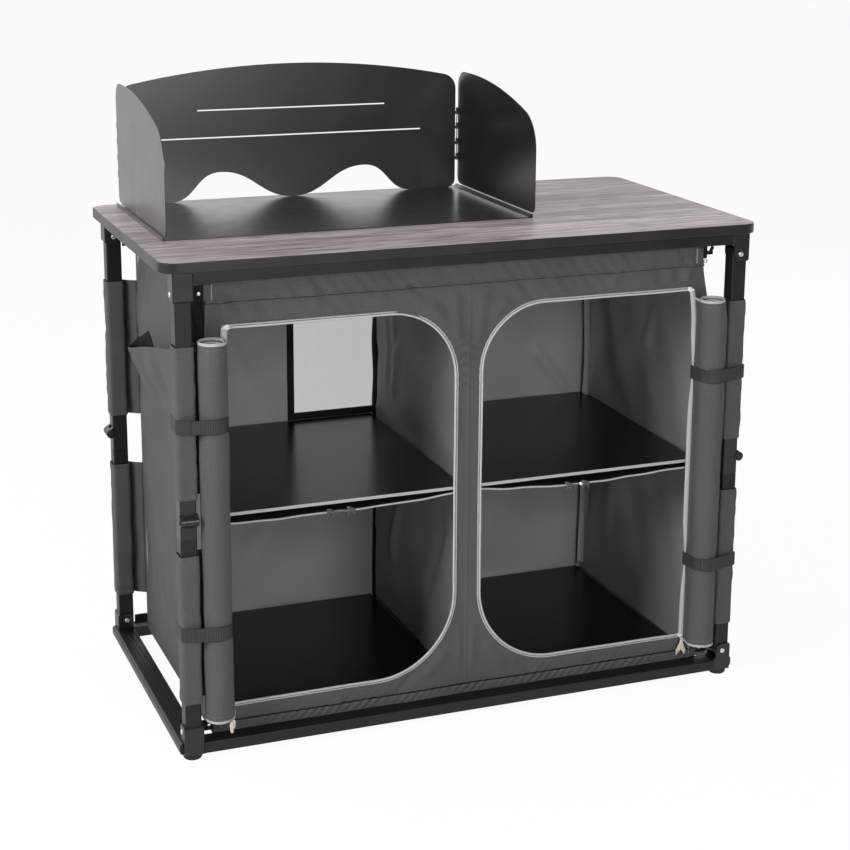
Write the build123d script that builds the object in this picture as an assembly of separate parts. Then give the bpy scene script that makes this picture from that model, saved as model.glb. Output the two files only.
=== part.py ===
from build123d import *
import math
import os

# Folding camping kitchen cupboard: a laminate worktop on four folding legs, with a two-door
# cloth cupboard hung between them and a sheet-metal windscreen standing on the worktop.
# Millimetres. X runs along the worktop to the right, Y to the rear, Z up from the floor.
# The pieces are drawn about the middle of the worktop, and written about the middle of the
# whole footprint, which the door rolls at the front move forward a little.

# Worktop
TOP_WIDTH = 970.0
TOP_DEPTH = 510.0
TOP_HEIGHT = 770.0
TOP_THICKNESS = 15.5
TOP_CORNER_RADIUS = 28.0
BAND_THICKNESS = 2.0
BAND_EDGE_RADIUS = 1.2
TOP_UNDERSIDE = TOP_HEIGHT - TOP_THICKNESS

# Legs, as square tubes that stand on centres set in from the worktop's edge
LEG_INSET_X = 31.5
LEG_INSET_Y = 18.5
LEG_X = TOP_WIDTH / 2 - LEG_INSET_X
LEG_Y = TOP_DEPTH / 2 - LEG_INSET_Y
TUBE_SIZE = 25.0
TUBE_WALL = 1.5
TUBE_CORNER_RADIUS = 2.0
TUBE_CAVITY_RADIUS = 0.8
TUBE_SOLID_PAST_PIVOT = 14.0

# Each leg by its corner of the frame, and the quarter turns that point its fold along a side
LEGS = {
    "fl": (-1, -1, 0),
    "bl": (-1, 1, -1),
    "br": (1, 1, 2),
    "fr": (1, -1, 1),
}

# Feet
FOOT_RADIUS = 14.5
FOOT_HEIGHT = 10.0
FOOT_EDGE_RADIUS = 4.0

# Corner brackets, each a base block with two cheeks and an outer wall round the tube's end
BRACKET_WALL = 2.7
BRACKET_PLAY = 0.3
BRACKET_SIZE = TUBE_SIZE + 2 * (BRACKET_WALL + BRACKET_PLAY)
BRACKET_CORNER_RADIUS = 2.0
BRACKET_END_PLAY = 1.0
CHEEK_REACH = 11.5
CHEEK_CHAMFER = 3.0
BOTTOM_BASE_THICKNESS = 20.5
TOP_BASE_THICKNESS = 19.0
PIVOT_TO_BASE = TUBE_SIZE / 2 + BRACKET_END_PLAY
LOW_PIVOT_Z = FOOT_HEIGHT + BOTTOM_BASE_THICKNESS + PIVOT_TO_BASE
TOP_PIVOT_Z = TOP_UNDERSIDE - TOP_BASE_THICKNESS - PIVOT_TO_BASE
TONGUE_LENGTH = 30.0
TONGUE_PLAY = 0.2

# Rivets
RIVET_RADIUS = 3.0
RIVET_PLAY = 0.05
RIVET_HEAD_RADIUS = 4.2
RIVET_HEAD_HEIGHT = 1.6
RIVET_HEAD_EDGE = 1.2

# Knees, half way between the two pivots of a leg
KNEE_Z = (LOW_PIVOT_Z + TOP_PIVOT_Z) / 2
KNEE_AXIS_GAP = 3.0
KNEE_AXIS_OFFSET = TUBE_SIZE / 2 + KNEE_AXIS_GAP
KNEE_BLOCK_LOW = 29.0
KNEE_BLOCK_HIGH = 33.0
KNEE_FACE_GAP = 0.15
KNEE_PLUG_LENGTH = 25.0
KNEE_PLUG_PLAY = 0.2
BARREL_RADIUS = 7.5
BARREL_HALF_LENGTH = 14.0
BARREL_MIDDLE_HALF = 6.0
BARREL_SIDE_PLAY = 0.2
BARREL_RELIEF_PLAY = 0.3
BARREL_HEAD_PLAY = 0.1
WEB_NEAR_DROP = 11.0
WEB_FAR_DROP = 7.0
WEB_FAR_Y = -2.2

# The knee barrel's segments along X: the lower half's, then the upper half's two
OUTER_START = BARREL_MIDDLE_HALF + BARREL_SIDE_PLAY
MIDDLE_SEGMENT = ((-BARREL_MIDDLE_HALF, BARREL_MIDDLE_HALF),)
OUTER_SEGMENTS = ((-BARREL_HALF_LENGTH, -OUTER_START), (OUTER_START, BARREL_HALF_LENGTH))

# Frame rails
RAIL_CORNER_RADIUS = 1.5
BOTTOM_RAIL_HEIGHT = 18.0
BOTTOM_RAIL_WIDTH = 30.0
BOTTOM_RAIL_WALL = 2.2
SIDE_RAIL_INNER_GAP = 3.0
SIDE_RAIL_LIP = 6.0
SIDE_RAIL_EDGE_RADIUS = 5.0
LIP_PLAY = 0.2
LIP_OVERRUN = 23.5
TOP_RAIL_HEIGHT = 16.5
TOP_RAIL_WIDTH = 30.0
TOP_RAIL_WALL = 2.0
GROOVE_WIDTH = 2.5
GROOVE_DEPTH = 1.0
GROOVE_PITCH = 6.5
GROOVE_COUNT = 4

# Rail centres: the front and rear rails lie inside the brackets' outer faces
BOTTOM_RAIL_Y = LEG_Y + BRACKET_SIZE / 2 - BOTTOM_RAIL_WIDTH / 2
TOP_RAIL_Y = LEG_Y + BRACKET_SIZE / 2 - TOP_RAIL_WIDTH / 2
TOP_SIDE_RAIL_X = LEG_X + BRACKET_SIZE / 2 - TOP_RAIL_WIDTH / 2
SIDE_RAIL_INNER_X = LEG_X - BRACKET_SIZE / 2 + SIDE_RAIL_INNER_GAP
SIDE_RAIL_OUTER_X = LEG_X + BRACKET_SIZE / 2 + SIDE_RAIL_LIP
CAVITY_WIDTH = BOTTOM_RAIL_WIDTH - 2 * BOTTOM_RAIL_WALL
SIDE_CAVITY_X = SIDE_RAIL_INNER_X + BOTTOM_RAIL_WALL + CAVITY_WIDTH / 2

# Cloth sleeves on the legs
SLEEVE_PLAY = 0.3
SLEEVE_THICKNESS = 1.4
SLEEVE_SIZE = TUBE_SIZE + 2 * (SLEEVE_PLAY + SLEEVE_THICKNESS)
SLEEVE_CORNER_RADIUS = 3.0
LOW_SLEEVE_BOTTOM = LOW_PIVOT_Z + 48.0
LOW_SLEEVE_TOP = KNEE_Z - 55.0
HIGH_SLEEVE_BOTTOM = KNEE_Z + 32.0
HIGH_SLEEVE_TOP = TOP_PIVOT_Z - 76.0

# Cupboard cloth
CLOTH = 1.5
CABINET_INSET_X = 35.5
CABINET_INSET_Y = 15.0
CABINET_HALF_WIDTH = LEG_X - CABINET_INSET_X
CABINET_HALF_DEPTH = LEG_Y - CABINET_INSET_Y
CABINET_OVERLAP = 2.0
CABINET_BOTTOM = FOOT_HEIGHT + BOTTOM_RAIL_HEIGHT - CABINET_OVERLAP
CABINET_TOP_GAP = 0.4
CABINET_TOP = TOP_UNDERSIDE - TOP_RAIL_HEIGHT - CABINET_TOP_GAP
FLOOR_CLOTH_LIFT = 2.5
FLOOR_CLOTH_Z = CABINET_BOTTOM + FLOOR_CLOTH_LIFT
DOOR_DIVIDER_GAP = 22.0
DOOR_SIDE_MARGIN = 26.0
DOOR_BOTTOM = CABINET_BOTTOM + 45.0
DOOR_TOP = CABINET_TOP - 74.6
DOOR_LOW_CORNER = 130.0
DOOR_HIGH_CORNER = 105.0
WINDOW_HALF_WIDTH = 147.0
WINDOW_TOP = CABINET_TOP - 97.6
WINDOW_CORNER_RADIUS = 4.0
WINDOW_NET_THICKNESS = 0.6

# Shelf and floor boards
BOARD_THICKNESS = 5.0
BOARD_DIVIDER_GAP = 8.0
BOARD_SIDE_MARGIN = 13.0
BOARD_FRONT_GAP = 2.5
BOARD_REAR_GAP = 8.5
BOARD_CORNER_RADIUS = 12.0
BOARD_LIFT = 0.2
SHELF_BELOW_MIDDLE = 9.2
SHELF_BOTTOM_Z = (CABINET_TOP + CABINET_BOTTOM) / 2 - SHELF_BELOW_MIDDLE
SLING_GAP = 0.3
WINDOW_BOTTOM = SHELF_BOTTOM_Z + 15.4

# Side pocket
POCKET_DEPTH = 19.7
POCKET_FRONT_GAP = 21.5
POCKET_REAR_GAP = 6.5
POCKET_TOP = CABINET_TOP - 147.6
POCKET_BOTTOM = POCKET_TOP - 128.0
POCKET_SEAM_GAP = 0.3

# Rolled doors and the straps that hold them to the front legs
ROLL_RADIUS = 23.0
ROLL_PINCH_RADIUS = 21.0
ROLL_PINCH_HALF_LENGTH = 30.0
ROLL_END_RADIUS = 3.0
ROLL_INSET = 5.0
ROLL_X = CABINET_HALF_WIDTH - ROLL_INSET
ROLL_CLOTH_GAP = 1.5
ROLL_Y = -(CABINET_HALF_DEPTH + ROLL_CLOTH_GAP + ROLL_RADIUS)
ROLL_BOTTOM = DOOR_BOTTOM - 9.0
ROLL_TOP = DOOR_TOP - 11.0
STRAP_HEIGHTS = (ROLL_BOTTOM + 145.0, ROLL_TOP - 124.0)
STRAP_WIDTH = 22.0
STRAP_THICKNESS = 2.0
STRAP_GAP = 0.5

# Door zips
ZIP_WIDTH = 7.0
ZIP_THICKNESS = 1.0
PULL_WIDTH = 7.0
PULL_TIP_WIDTH = 4.0
PULL_LENGTH = 21.0
PULL_THICKNESS = 1.6
PULL_HOLE_RADIUS = 1.3

# Windscreen
SHEET = 1.2
PLATE_HALF_WIDTH = 303.5
PLATE_DEPTH = 326.0
PLATE_SIDE_MARGIN = 41.5
PLATE_REAR_MARGIN = 17.0
SCREEN_X = PLATE_SIDE_MARGIN + PLATE_HALF_WIDTH - TOP_WIDTH / 2
PLATE_REAR = TOP_DEPTH / 2 - PLATE_REAR_MARGIN
RIM_WIDTH = 7.0
RIM_HEIGHT = 6.2
HINGE_INSET_X = 4.5
HINGE_INSET_Y = 8.0
HINGE_HALF_WIDTH = PLATE_HALF_WIDTH - HINGE_INSET_X
HINGE_Y = PLATE_REAR - HINGE_INSET_Y
HINGE_PIN_RADIUS = 0.9
HINGE_PIN_PLAY = 0.05
HINGE_KNUCKLE_RADIUS = 2.0
HINGE_KNUCKLE_LENGTH = 5.3
HINGE_KNUCKLE_PLAY = 0.3
HINGE_SLIT = 2.6
HINGE_HEIGHTS = (54.3, 80.8, 108.0, 133.8)
HINGE_PIN_OVERRUN = 1.5
PANEL_HEIGHT = 225.8
PANEL_TOP_RADIUS = 1417.0
PANEL_TOP_CORNER = 27.0
PANEL_FOOT_CORNER = 14.0
SCALLOP_OUTER = 214.0
SCALLOP_APEX = 127.0
SCALLOP_HEIGHT = 47.5
SLOT_HEIGHT = 2.2
SLOTS = ((105.8, 231.0), (151.8, 165.0))
WING_FRONT = HINGE_Y - 332.0
WING_LIFT = 8.0
WING_REAR_HEIGHT = 203.0
WING_MIDDLE_Y = HINGE_Y - 164.0
WING_MIDDLE_HEIGHT = 196.0
WING_FRONT_HEIGHT = 152.0
WING_REAR_TOP_CORNER = 27.0
WING_FRONT_TOP_CORNER = 62.0
WING_FRONT_LOW_CORNER = 11.0
WING_REAR_LOW_CORNER = 14.0
PLATE_TOP = TOP_HEIGHT + SHEET

# The footprint's middle lies between the rolls or their straps in front and the rear knees
FRONT_REACH = -ROLL_Y + max(ROLL_RADIUS, ROLL_PINCH_RADIUS + STRAP_GAP + STRAP_THICKNESS)
REAR_REACH = LEG_Y + KNEE_AXIS_OFFSET + BARREL_RADIUS
ORIGIN_SHIFT_Y = (FRONT_REACH - REAR_REACH) / 2


def block(x_range, y_range, z_range):
    """A box between two corners, given as a low and a high value along each axis."""
    sizes = [high - low for low, high in (x_range, y_range, z_range)]
    middles = [(high + low) / 2 for low, high in (x_range, y_range, z_range)]
    return Pos(*middles) * Box(*sizes)


def rod_along_x(radius, x_range, y=0.0, z=0.0):
    """A round rod along X between two X values."""
    low, high = x_range
    return Pos((low + high) / 2, y, z) * Rot(0, 90, 0) * Cylinder(radius, high - low)


def square_bar(size, corner_radius, z_range):
    """An upright square bar with rounded corners, on the Z axis."""
    low, high = z_range
    return Pos(0, 0, low) * extrude(RectangleRounded(size, size, corner_radius), high - low)


def at_corner(corner, shape):
    """Moves a piece from the leg's own frame, where it folds along +Y, to its corner."""
    side_x, side_y, quarters = LEGS[corner]
    return Pos(side_x * LEG_X, side_y * LEG_Y, 0) * Rot(0, 0, 90 * quarters) * shape


def mirrored_x(shape):
    """The same piece on the other side of the YZ plane."""
    return mirror(shape, Plane.YZ)


def write(name, *solids):
    """Writes one node, its solids moved so that Y is 0 in the middle of the footprint."""
    moved = [Pos(0, ORIGIN_SHIFT_Y, 0) * solid for solid in solids]
    shape = moved[0] if len(moved) == 1 else Compound(children=moved)
    export_step(shape, os.path.join("parts", name + ".step"))


def worktop_outline(inset):
    """The worktop's rounded rectangle, drawn in by inset."""
    return RectangleRounded(
        TOP_WIDTH - 2 * inset, TOP_DEPTH - 2 * inset, TOP_CORNER_RADIUS - inset
    )


def tabletop_board():
    """The laminated board inside the edge band."""
    return Pos(0, 0, TOP_UNDERSIDE) * extrude(worktop_outline(BAND_THICKNESS), TOP_THICKNESS)


def tabletop_edge_band():
    """The band round the board, its two outer edges rounded."""
    outer = extrude(worktop_outline(0), TOP_THICKNESS)
    edges = outer.faces().sort_by(Axis.Z)[-1].edges() + outer.faces().sort_by(Axis.Z)[0].edges()
    outer = fillet(edges, BAND_EDGE_RADIUS)
    inner = extrude(worktop_outline(BAND_THICKNESS), TOP_THICKNESS)
    return Pos(0, 0, TOP_UNDERSIDE) * (outer - inner)


def foot():
    """A round glide under a bracket."""
    disc = Pos(0, 0, FOOT_HEIGHT / 2) * Cylinder(FOOT_RADIUS, FOOT_HEIGHT)
    return fillet(disc.edges().sort_by(Axis.Z)[0], FOOT_EDGE_RADIUS)


def bracket_body(base_thickness):
    """A corner bracket with its pivot at the origin, its base below and its wall towards -Y."""
    half = BRACKET_SIZE / 2
    base_top = -PIVOT_TO_BASE
    outline = Polyline(
        (CHEEK_REACH, 0),
        (CHEEK_REACH, base_top),
        (half, base_top),
        (half, base_top - base_thickness),
        (-half, base_top - base_thickness),
        (-half, CHEEK_REACH - CHEEK_CHAMFER),
        (CHEEK_CHAMFER - half, CHEEK_REACH),
        (0, CHEEK_REACH),
    )
    crown = CenterArc((0, 0), CHEEK_REACH, 0, 90)
    profile = make_face(Plane.YZ * Curve([outline, crown]))
    body = extrude(profile, half, both=True)
    inner = TUBE_SIZE / 2 + BRACKET_PLAY
    body -= block((-inner, inner), (-inner, 2 * half), (base_top, 2 * half))
    low = base_top - base_thickness
    body &= square_bar(BRACKET_SIZE, BRACKET_CORNER_RADIUS, (low, CHEEK_REACH))
    return body - rod_along_x(RIVET_RADIUS + RIVET_PLAY, (-half, half))


def tongues(corner, size, rail_y, rail_x, z_middle):
    """The two bars from a corner's bracket into its rails, size being their width and height."""
    side_x, side_y, _ = LEGS[corner]
    width, height = size
    back = (BRACKET_SIZE + TONGUE_LENGTH) / 2
    along_x = Pos(side_x * (LEG_X - back), side_y * rail_y, z_middle)
    along_y = Pos(side_x * rail_x, side_y * (LEG_Y - back), z_middle)
    bars = along_x * Box(TONGUE_LENGTH, width, height)
    return bars + along_y * Box(width, TONGUE_LENGTH, height)


def bottom_bracket(corner):
    """A bottom corner bracket with its two tongues."""
    body = at_corner(corner, Pos(0, 0, LOW_PIVOT_Z) * bracket_body(BOTTOM_BASE_THICKNESS))
    play = 2 * (BOTTOM_RAIL_WALL + TONGUE_PLAY)
    size = (BOTTOM_RAIL_WIDTH - play, BOTTOM_RAIL_HEIGHT - play)
    z_middle = FOOT_HEIGHT + BOTTOM_RAIL_HEIGHT / 2
    return body + tongues(corner, size, BOTTOM_RAIL_Y, SIDE_CAVITY_X, z_middle)


def top_bracket(corner):
    """A top corner bracket, upside down, with its two tongues."""
    body = Pos(0, 0, TOP_PIVOT_Z) * Rot(0, 180, 0) * bracket_body(TOP_BASE_THICKNESS)
    play = 2 * (TOP_RAIL_WALL + TONGUE_PLAY)
    size = (TOP_RAIL_WIDTH - play, TOP_RAIL_HEIGHT - play)
    z_middle = TOP_UNDERSIDE - TOP_RAIL_HEIGHT / 2
    return at_corner(corner, body) + tongues(corner, size, TOP_RAIL_Y, TOP_SIDE_RAIL_X, z_middle)


def grooves(middle):
    """The section of the lengthwise grooves in the top of a bottom rail, about a middle."""
    cuts = Sketch()
    for number in range(GROOVE_COUNT):
        across = middle + (number - (GROOVE_COUNT - 1) / 2) * GROOVE_PITCH
        cuts += Pos(across, BOTTOM_RAIL_HEIGHT) * Rectangle(GROOVE_WIDTH, 2 * GROOVE_DEPTH)
    return cuts


def bottom_front_rail():
    """The front rail: a hollow box section along X between the brackets, grooved on top."""
    section = Pos(0, BOTTOM_RAIL_HEIGHT / 2) * RectangleRounded(
        BOTTOM_RAIL_WIDTH, BOTTOM_RAIL_HEIGHT, RAIL_CORNER_RADIUS
    )
    section -= Pos(0, BOTTOM_RAIL_HEIGHT / 2) * Rectangle(
        CAVITY_WIDTH, BOTTOM_RAIL_HEIGHT - 2 * BOTTOM_RAIL_WALL
    )
    section -= grooves(0)
    rail = extrude(Plane.YZ * section, LEG_X - BRACKET_SIZE / 2, both=True)
    return Pos(0, -BOTTOM_RAIL_Y, FOOT_HEIGHT) * rail


def bottom_right_rail():
    """The right rail: a wider section along Y, whose rounded lip runs on past the brackets."""
    width = SIDE_RAIL_OUTER_X - SIDE_RAIL_INNER_X
    middle = (SIDE_RAIL_OUTER_X + SIDE_RAIL_INNER_X) / 2
    section = Pos(middle, BOTTOM_RAIL_HEIGHT / 2) * Rectangle(width, BOTTOM_RAIL_HEIGHT)
    outer_corners = section.vertices().group_by(Axis.X)[-1]
    section = fillet(outer_corners, SIDE_RAIL_EDGE_RADIUS)
    section -= Pos(SIDE_CAVITY_X, BOTTOM_RAIL_HEIGHT / 2) * Rectangle(
        CAVITY_WIDTH, BOTTOM_RAIL_HEIGHT - 2 * BOTTOM_RAIL_WALL
    )
    section -= grooves(SIDE_CAVITY_X)
    inner_end = LEG_Y - BRACKET_SIZE / 2
    rail = extrude(Plane.XZ * section, inner_end + LIP_OVERRUN, both=True)
    bracket_face = LEG_X + BRACKET_SIZE / 2 + LIP_PLAY
    for low, high in ((-TOP_DEPTH, -inner_end), (inner_end, TOP_DEPTH)):
        rail -= block((0, bracket_face), (low, high), (-1, BOTTOM_RAIL_HEIGHT + 1))
    return Pos(0, 0, FOOT_HEIGHT) * rail


def top_rail_section():
    """The box section of the top rails, on the X axis and centred on its height."""
    section = RectangleRounded(TOP_RAIL_WIDTH, TOP_RAIL_HEIGHT, RAIL_CORNER_RADIUS)
    return section - Rectangle(TOP_RAIL_WIDTH - 2 * TOP_RAIL_WALL, TOP_RAIL_HEIGHT - 2 * TOP_RAIL_WALL)


def top_front_rail():
    """The front rail under the worktop, along X."""
    rail = extrude(Plane.YZ * top_rail_section(), LEG_X - BRACKET_SIZE / 2, both=True)
    return Pos(0, -TOP_RAIL_Y, TOP_UNDERSIDE - TOP_RAIL_HEIGHT / 2) * rail


def top_right_rail():
    """The right rail under the worktop, along Y."""
    rail = extrude(Plane.XZ * top_rail_section(), LEG_Y - BRACKET_SIZE / 2, both=True)
    return Pos(TOP_SIDE_RAIL_X, 0, TOP_UNDERSIDE - TOP_RAIL_HEIGHT / 2) * rail


def rivet(half_grip):
    """A rivet along X, centred on the origin, with a domed head at each end."""
    shank = rod_along_x(RIVET_RADIUS, (-half_grip, half_grip))
    head = Cylinder(RIVET_HEAD_RADIUS, RIVET_HEAD_HEIGHT)
    head = fillet(head.edges().sort_by(Axis.Z)[-1], RIVET_HEAD_EDGE)
    head = Pos(half_grip + RIVET_HEAD_HEIGHT / 2, 0, 0) * Rot(0, 90, 0) * head
    return shank + head + mirrored_x(head)


def leg_tube(length):
    """A square tube upwards from its pivot at the origin, with a solid half-round end below."""
    half = TUBE_SIZE / 2
    body = square_bar(TUBE_SIZE, TUBE_CORNER_RADIUS, (0, length))
    end = rod_along_x(half, (-half, half))
    body += end & square_bar(TUBE_SIZE, TUBE_CORNER_RADIUS, (-half, 0))
    cavity = square_bar(TUBE_SIZE - 2 * TUBE_WALL, TUBE_CAVITY_RADIUS, (TUBE_SOLID_PAST_PIVOT, length))
    return body - cavity - rod_along_x(RIVET_RADIUS + RIVET_PLAY, (-half, half))


def knuckle(block_height, own_segments, other_segments):
    """Half a knee, its axis along X at height 0 and its block below, with a plug for the tube.

    The barrel's segments stand beside the block, and the other half's segments are cleared.
    """
    body = square_bar(TUBE_SIZE, TUBE_CORNER_RADIUS, (-block_height, -KNEE_FACE_GAP))
    plug_size = TUBE_SIZE - 2 * (TUBE_WALL + KNEE_PLUG_PLAY)
    low = -block_height - KNEE_PLUG_LENGTH
    body += square_bar(plug_size, TUBE_CAVITY_RADIUS, (low, -block_height))
    for low_x, high_x in other_segments:
        span = (low_x - BARREL_SIDE_PLAY, high_x + BARREL_SIDE_PLAY)
        body -= rod_along_x(BARREL_RADIUS + BARREL_RELIEF_PLAY, span, -KNEE_AXIS_OFFSET)
    web = make_face(
        Polyline(
            (KNEE_AXIS_GAP, 0),
            (KNEE_AXIS_GAP, -WEB_NEAR_DROP),
            (WEB_FAR_Y, -WEB_FAR_DROP),
            (WEB_FAR_Y, 0),
            close=True,
        )
    )
    for low_x, high_x in own_segments:
        body += rod_along_x(BARREL_RADIUS, (low_x, high_x), -KNEE_AXIS_OFFSET)
        slab = extrude(Plane.YZ * web, high_x - low_x)
        body += Pos(low_x, -KNEE_AXIS_OFFSET, 0) * slab
    bore_span = (-BARREL_HALF_LENGTH, BARREL_HALF_LENGTH)
    return body - rod_along_x(RIVET_RADIUS + RIVET_PLAY, bore_span, -KNEE_AXIS_OFFSET)


def lower_knuckle():
    """The knee's lower half, with the middle segment of the barrel."""
    return Pos(0, 0, KNEE_Z) * knuckle(KNEE_BLOCK_LOW, MIDDLE_SEGMENT, OUTER_SEGMENTS)


def upper_knuckle():
    """The knee's upper half, with the two outer segments of the barrel."""
    half = knuckle(KNEE_BLOCK_HIGH, OUTER_SEGMENTS, MIDDLE_SEGMENT)
    return Pos(0, 0, KNEE_Z) * Rot(0, 180, 0) * half


def knee_rivet():
    """The rivet through the knee."""
    grip = BARREL_HALF_LENGTH + BARREL_HEAD_PLAY
    return Pos(0, -KNEE_AXIS_OFFSET, KNEE_Z) * rivet(grip)


def lower_tube():
    """The leg's lower tube, from its low pivot to the knee block."""
    return Pos(0, 0, LOW_PIVOT_Z) * leg_tube(KNEE_Z - KNEE_BLOCK_LOW - LOW_PIVOT_Z)


def upper_tube():
    """The leg's upper tube, down from its top pivot to the knee block."""
    tube = leg_tube(TOP_PIVOT_Z - KNEE_Z - KNEE_BLOCK_HIGH)
    return Pos(0, 0, TOP_PIVOT_Z) * Rot(180, 0, 0) * tube


def sleeve(z_range):
    """A cloth tube round a leg."""
    inner = TUBE_SIZE + 2 * SLEEVE_PLAY
    body = square_bar(SLEEVE_SIZE, SLEEVE_CORNER_RADIUS, z_range)
    return body - square_bar(inner, TUBE_CORNER_RADIUS, z_range)


def board(z_bottom):
    """A right-hand board with its two front corners rounded."""
    width = CABINET_HALF_WIDTH - BOARD_SIDE_MARGIN - BOARD_DIVIDER_GAP
    front = -CABINET_HALF_DEPTH + BOARD_FRONT_GAP
    depth = CABINET_HALF_DEPTH - BOARD_REAR_GAP - front
    plate = Rectangle(width, depth)
    front_corners = plate.vertices().group_by(Axis.Y)[0]
    plate = extrude(fillet(front_corners, BOARD_CORNER_RADIUS), BOARD_THICKNESS)
    return Pos(BOARD_DIVIDER_GAP + width / 2, front + depth / 2, z_bottom) * plate


def door_opening():
    """The right door's outline in the front cloth, well rounded beside the divider."""
    width = CABINET_HALF_WIDTH - DOOR_SIDE_MARGIN - DOOR_DIVIDER_GAP
    height = DOOR_TOP - DOOR_BOTTOM
    middle = Pos(DOOR_DIVIDER_GAP + width / 2, DOOR_BOTTOM + height / 2)
    outline = middle * Rectangle(width, height)
    inner = outline.vertices().group_by(Axis.X)[0].sort_by(Axis.Y)
    outline = fillet(inner[1], DOOR_HIGH_CORNER)
    inner = outline.vertices().group_by(Axis.X)[0].sort_by(Axis.Y)
    return fillet(inner[0], DOOR_LOW_CORNER)


def upright_sheet(sketch, y_front, thickness):
    """A sketch in X and Z made a sheet that stands across Y, from its front face backwards."""
    return Pos(0, y_front, 0) * extrude(Plane.XZ * sketch, -thickness)


def cabinet_outline():
    """The cupboard's front or rear panel, as a rectangle in X and Z."""
    middle = Pos(0, (CABINET_TOP + CABINET_BOTTOM) / 2)
    return middle * Rectangle(2 * CABINET_HALF_WIDTH, CABINET_TOP - CABINET_BOTTOM)


def cabinet_front():
    """The front cloth with its two door openings."""
    door = door_opening()
    panel = cabinet_outline() - door - mirror(door, Plane.YZ)
    return upright_sheet(panel, -CABINET_HALF_DEPTH, CLOTH)


def cabinet_back():
    """The rear cloth, and the net that closes its window."""
    height = WINDOW_TOP - WINDOW_BOTTOM
    middle = Pos(0, WINDOW_BOTTOM + height / 2)
    window = middle * RectangleRounded(2 * WINDOW_HALF_WIDTH, height, WINDOW_CORNER_RADIUS)
    panel = upright_sheet(cabinet_outline() - window, CABINET_HALF_DEPTH - CLOTH, CLOTH)
    net_front = CABINET_HALF_DEPTH - (CLOTH + WINDOW_NET_THICKNESS) / 2
    return panel, upright_sheet(window, net_front, WINDOW_NET_THICKNESS)


def cabinet_right_side():
    """The right side cloth, between the front and the rear cloth."""
    inner_depth = CABINET_HALF_DEPTH - CLOTH
    return block(
        (CABINET_HALF_WIDTH - CLOTH, CABINET_HALF_WIDTH),
        (-inner_depth, inner_depth),
        (CABINET_BOTTOM, CABINET_TOP),
    )


def cabinet_floor():
    """The floor cloth between the four walls."""
    half_width = CABINET_HALF_WIDTH - CLOTH
    half_depth = CABINET_HALF_DEPTH - CLOTH
    return block(
        (-half_width, half_width),
        (-half_depth, half_depth),
        (FLOOR_CLOTH_Z, FLOOR_CLOTH_Z + CLOTH),
    )


def cabinet_divider():
    """The middle wall, from the floor cloth up."""
    inner_depth = CABINET_HALF_DEPTH - CLOTH
    return block(
        (-CLOTH / 2, CLOTH / 2),
        (-inner_depth, inner_depth),
        (FLOOR_CLOTH_Z + CLOTH, CABINET_TOP),
    )


def shelf_sling():
    """The cloth under the right shelf board, from the divider to the side."""
    inner_depth = CABINET_HALF_DEPTH - CLOTH
    top = SHELF_BOTTOM_Z - SLING_GAP
    return block(
        (CLOTH / 2, CABINET_HALF_WIDTH - CLOTH),
        (-inner_depth, inner_depth),
        (top - CLOTH, top),
    )


def side_pocket():
    """An open-topped cloth pocket on the left side, one closed shell with a wall all round."""
    outer_x = -CABINET_HALF_WIDTH - POCKET_DEPTH
    inner_x = -CABINET_HALF_WIDTH - POCKET_SEAM_GAP
    front = -CABINET_HALF_DEPTH + POCKET_FRONT_GAP
    rear = CABINET_HALF_DEPTH - POCKET_REAR_GAP
    bag = block((outer_x, inner_x), (front, rear), (POCKET_BOTTOM, POCKET_TOP))
    return bag - block(
        (outer_x + CLOTH, inner_x - CLOTH),
        (front + CLOTH, rear - CLOTH),
        (POCKET_BOTTOM + CLOTH, POCKET_TOP),
    )


def right_door_roll():
    """The rolled door: a round roll drawn in where each strap holds it."""
    lines = []
    start = (ROLL_RADIUS - ROLL_END_RADIUS, ROLL_BOTTOM)
    lines.append(Line((0, ROLL_BOTTOM), start))
    edge = (ROLL_RADIUS, ROLL_BOTTOM + ROLL_END_RADIUS)
    lines.append(RadiusArc(start, edge, -ROLL_END_RADIUS))
    for height in STRAP_HEIGHTS:
        low = (ROLL_RADIUS, height - ROLL_PINCH_HALF_LENGTH)
        high = (ROLL_RADIUS, height + ROLL_PINCH_HALF_LENGTH)
        lines.append(Line(edge, low))
        lines.append(ThreePointArc(low, (ROLL_PINCH_RADIUS, height), high))
        edge = high
    top_edge = (ROLL_RADIUS, ROLL_TOP - ROLL_END_RADIUS)
    lines.append(Line(edge, top_edge))
    end = (ROLL_RADIUS - ROLL_END_RADIUS, ROLL_TOP)
    lines.append(RadiusArc(top_edge, end, -ROLL_END_RADIUS))
    lines.append(Line(end, (0, ROLL_TOP)))
    lines.append(Line((0, ROLL_TOP), (0, ROLL_BOTTOM)))
    profile = make_face(Plane.XZ * Curve(lines))
    return Pos(ROLL_X, ROLL_Y, 0) * revolve(profile, Axis.Z)


def door_strap(height):
    """The right strap at one height: a loop pulled tight round the roll and the leg's sleeve."""
    roll = Pos(ROLL_X, ROLL_Y) * Circle(ROLL_PINCH_RADIUS)
    leg = Pos(LEG_X, -LEG_Y) * Rectangle(SLEEVE_SIZE, SLEEVE_SIZE)
    hull = make_hull(roll.edges() + leg.edges())
    outer = offset(hull, STRAP_GAP + STRAP_THICKNESS)
    inner = offset(hull, STRAP_GAP)
    return Pos(0, 0, height - STRAP_WIDTH / 2) * extrude(outer - inner, STRAP_WIDTH)


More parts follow.
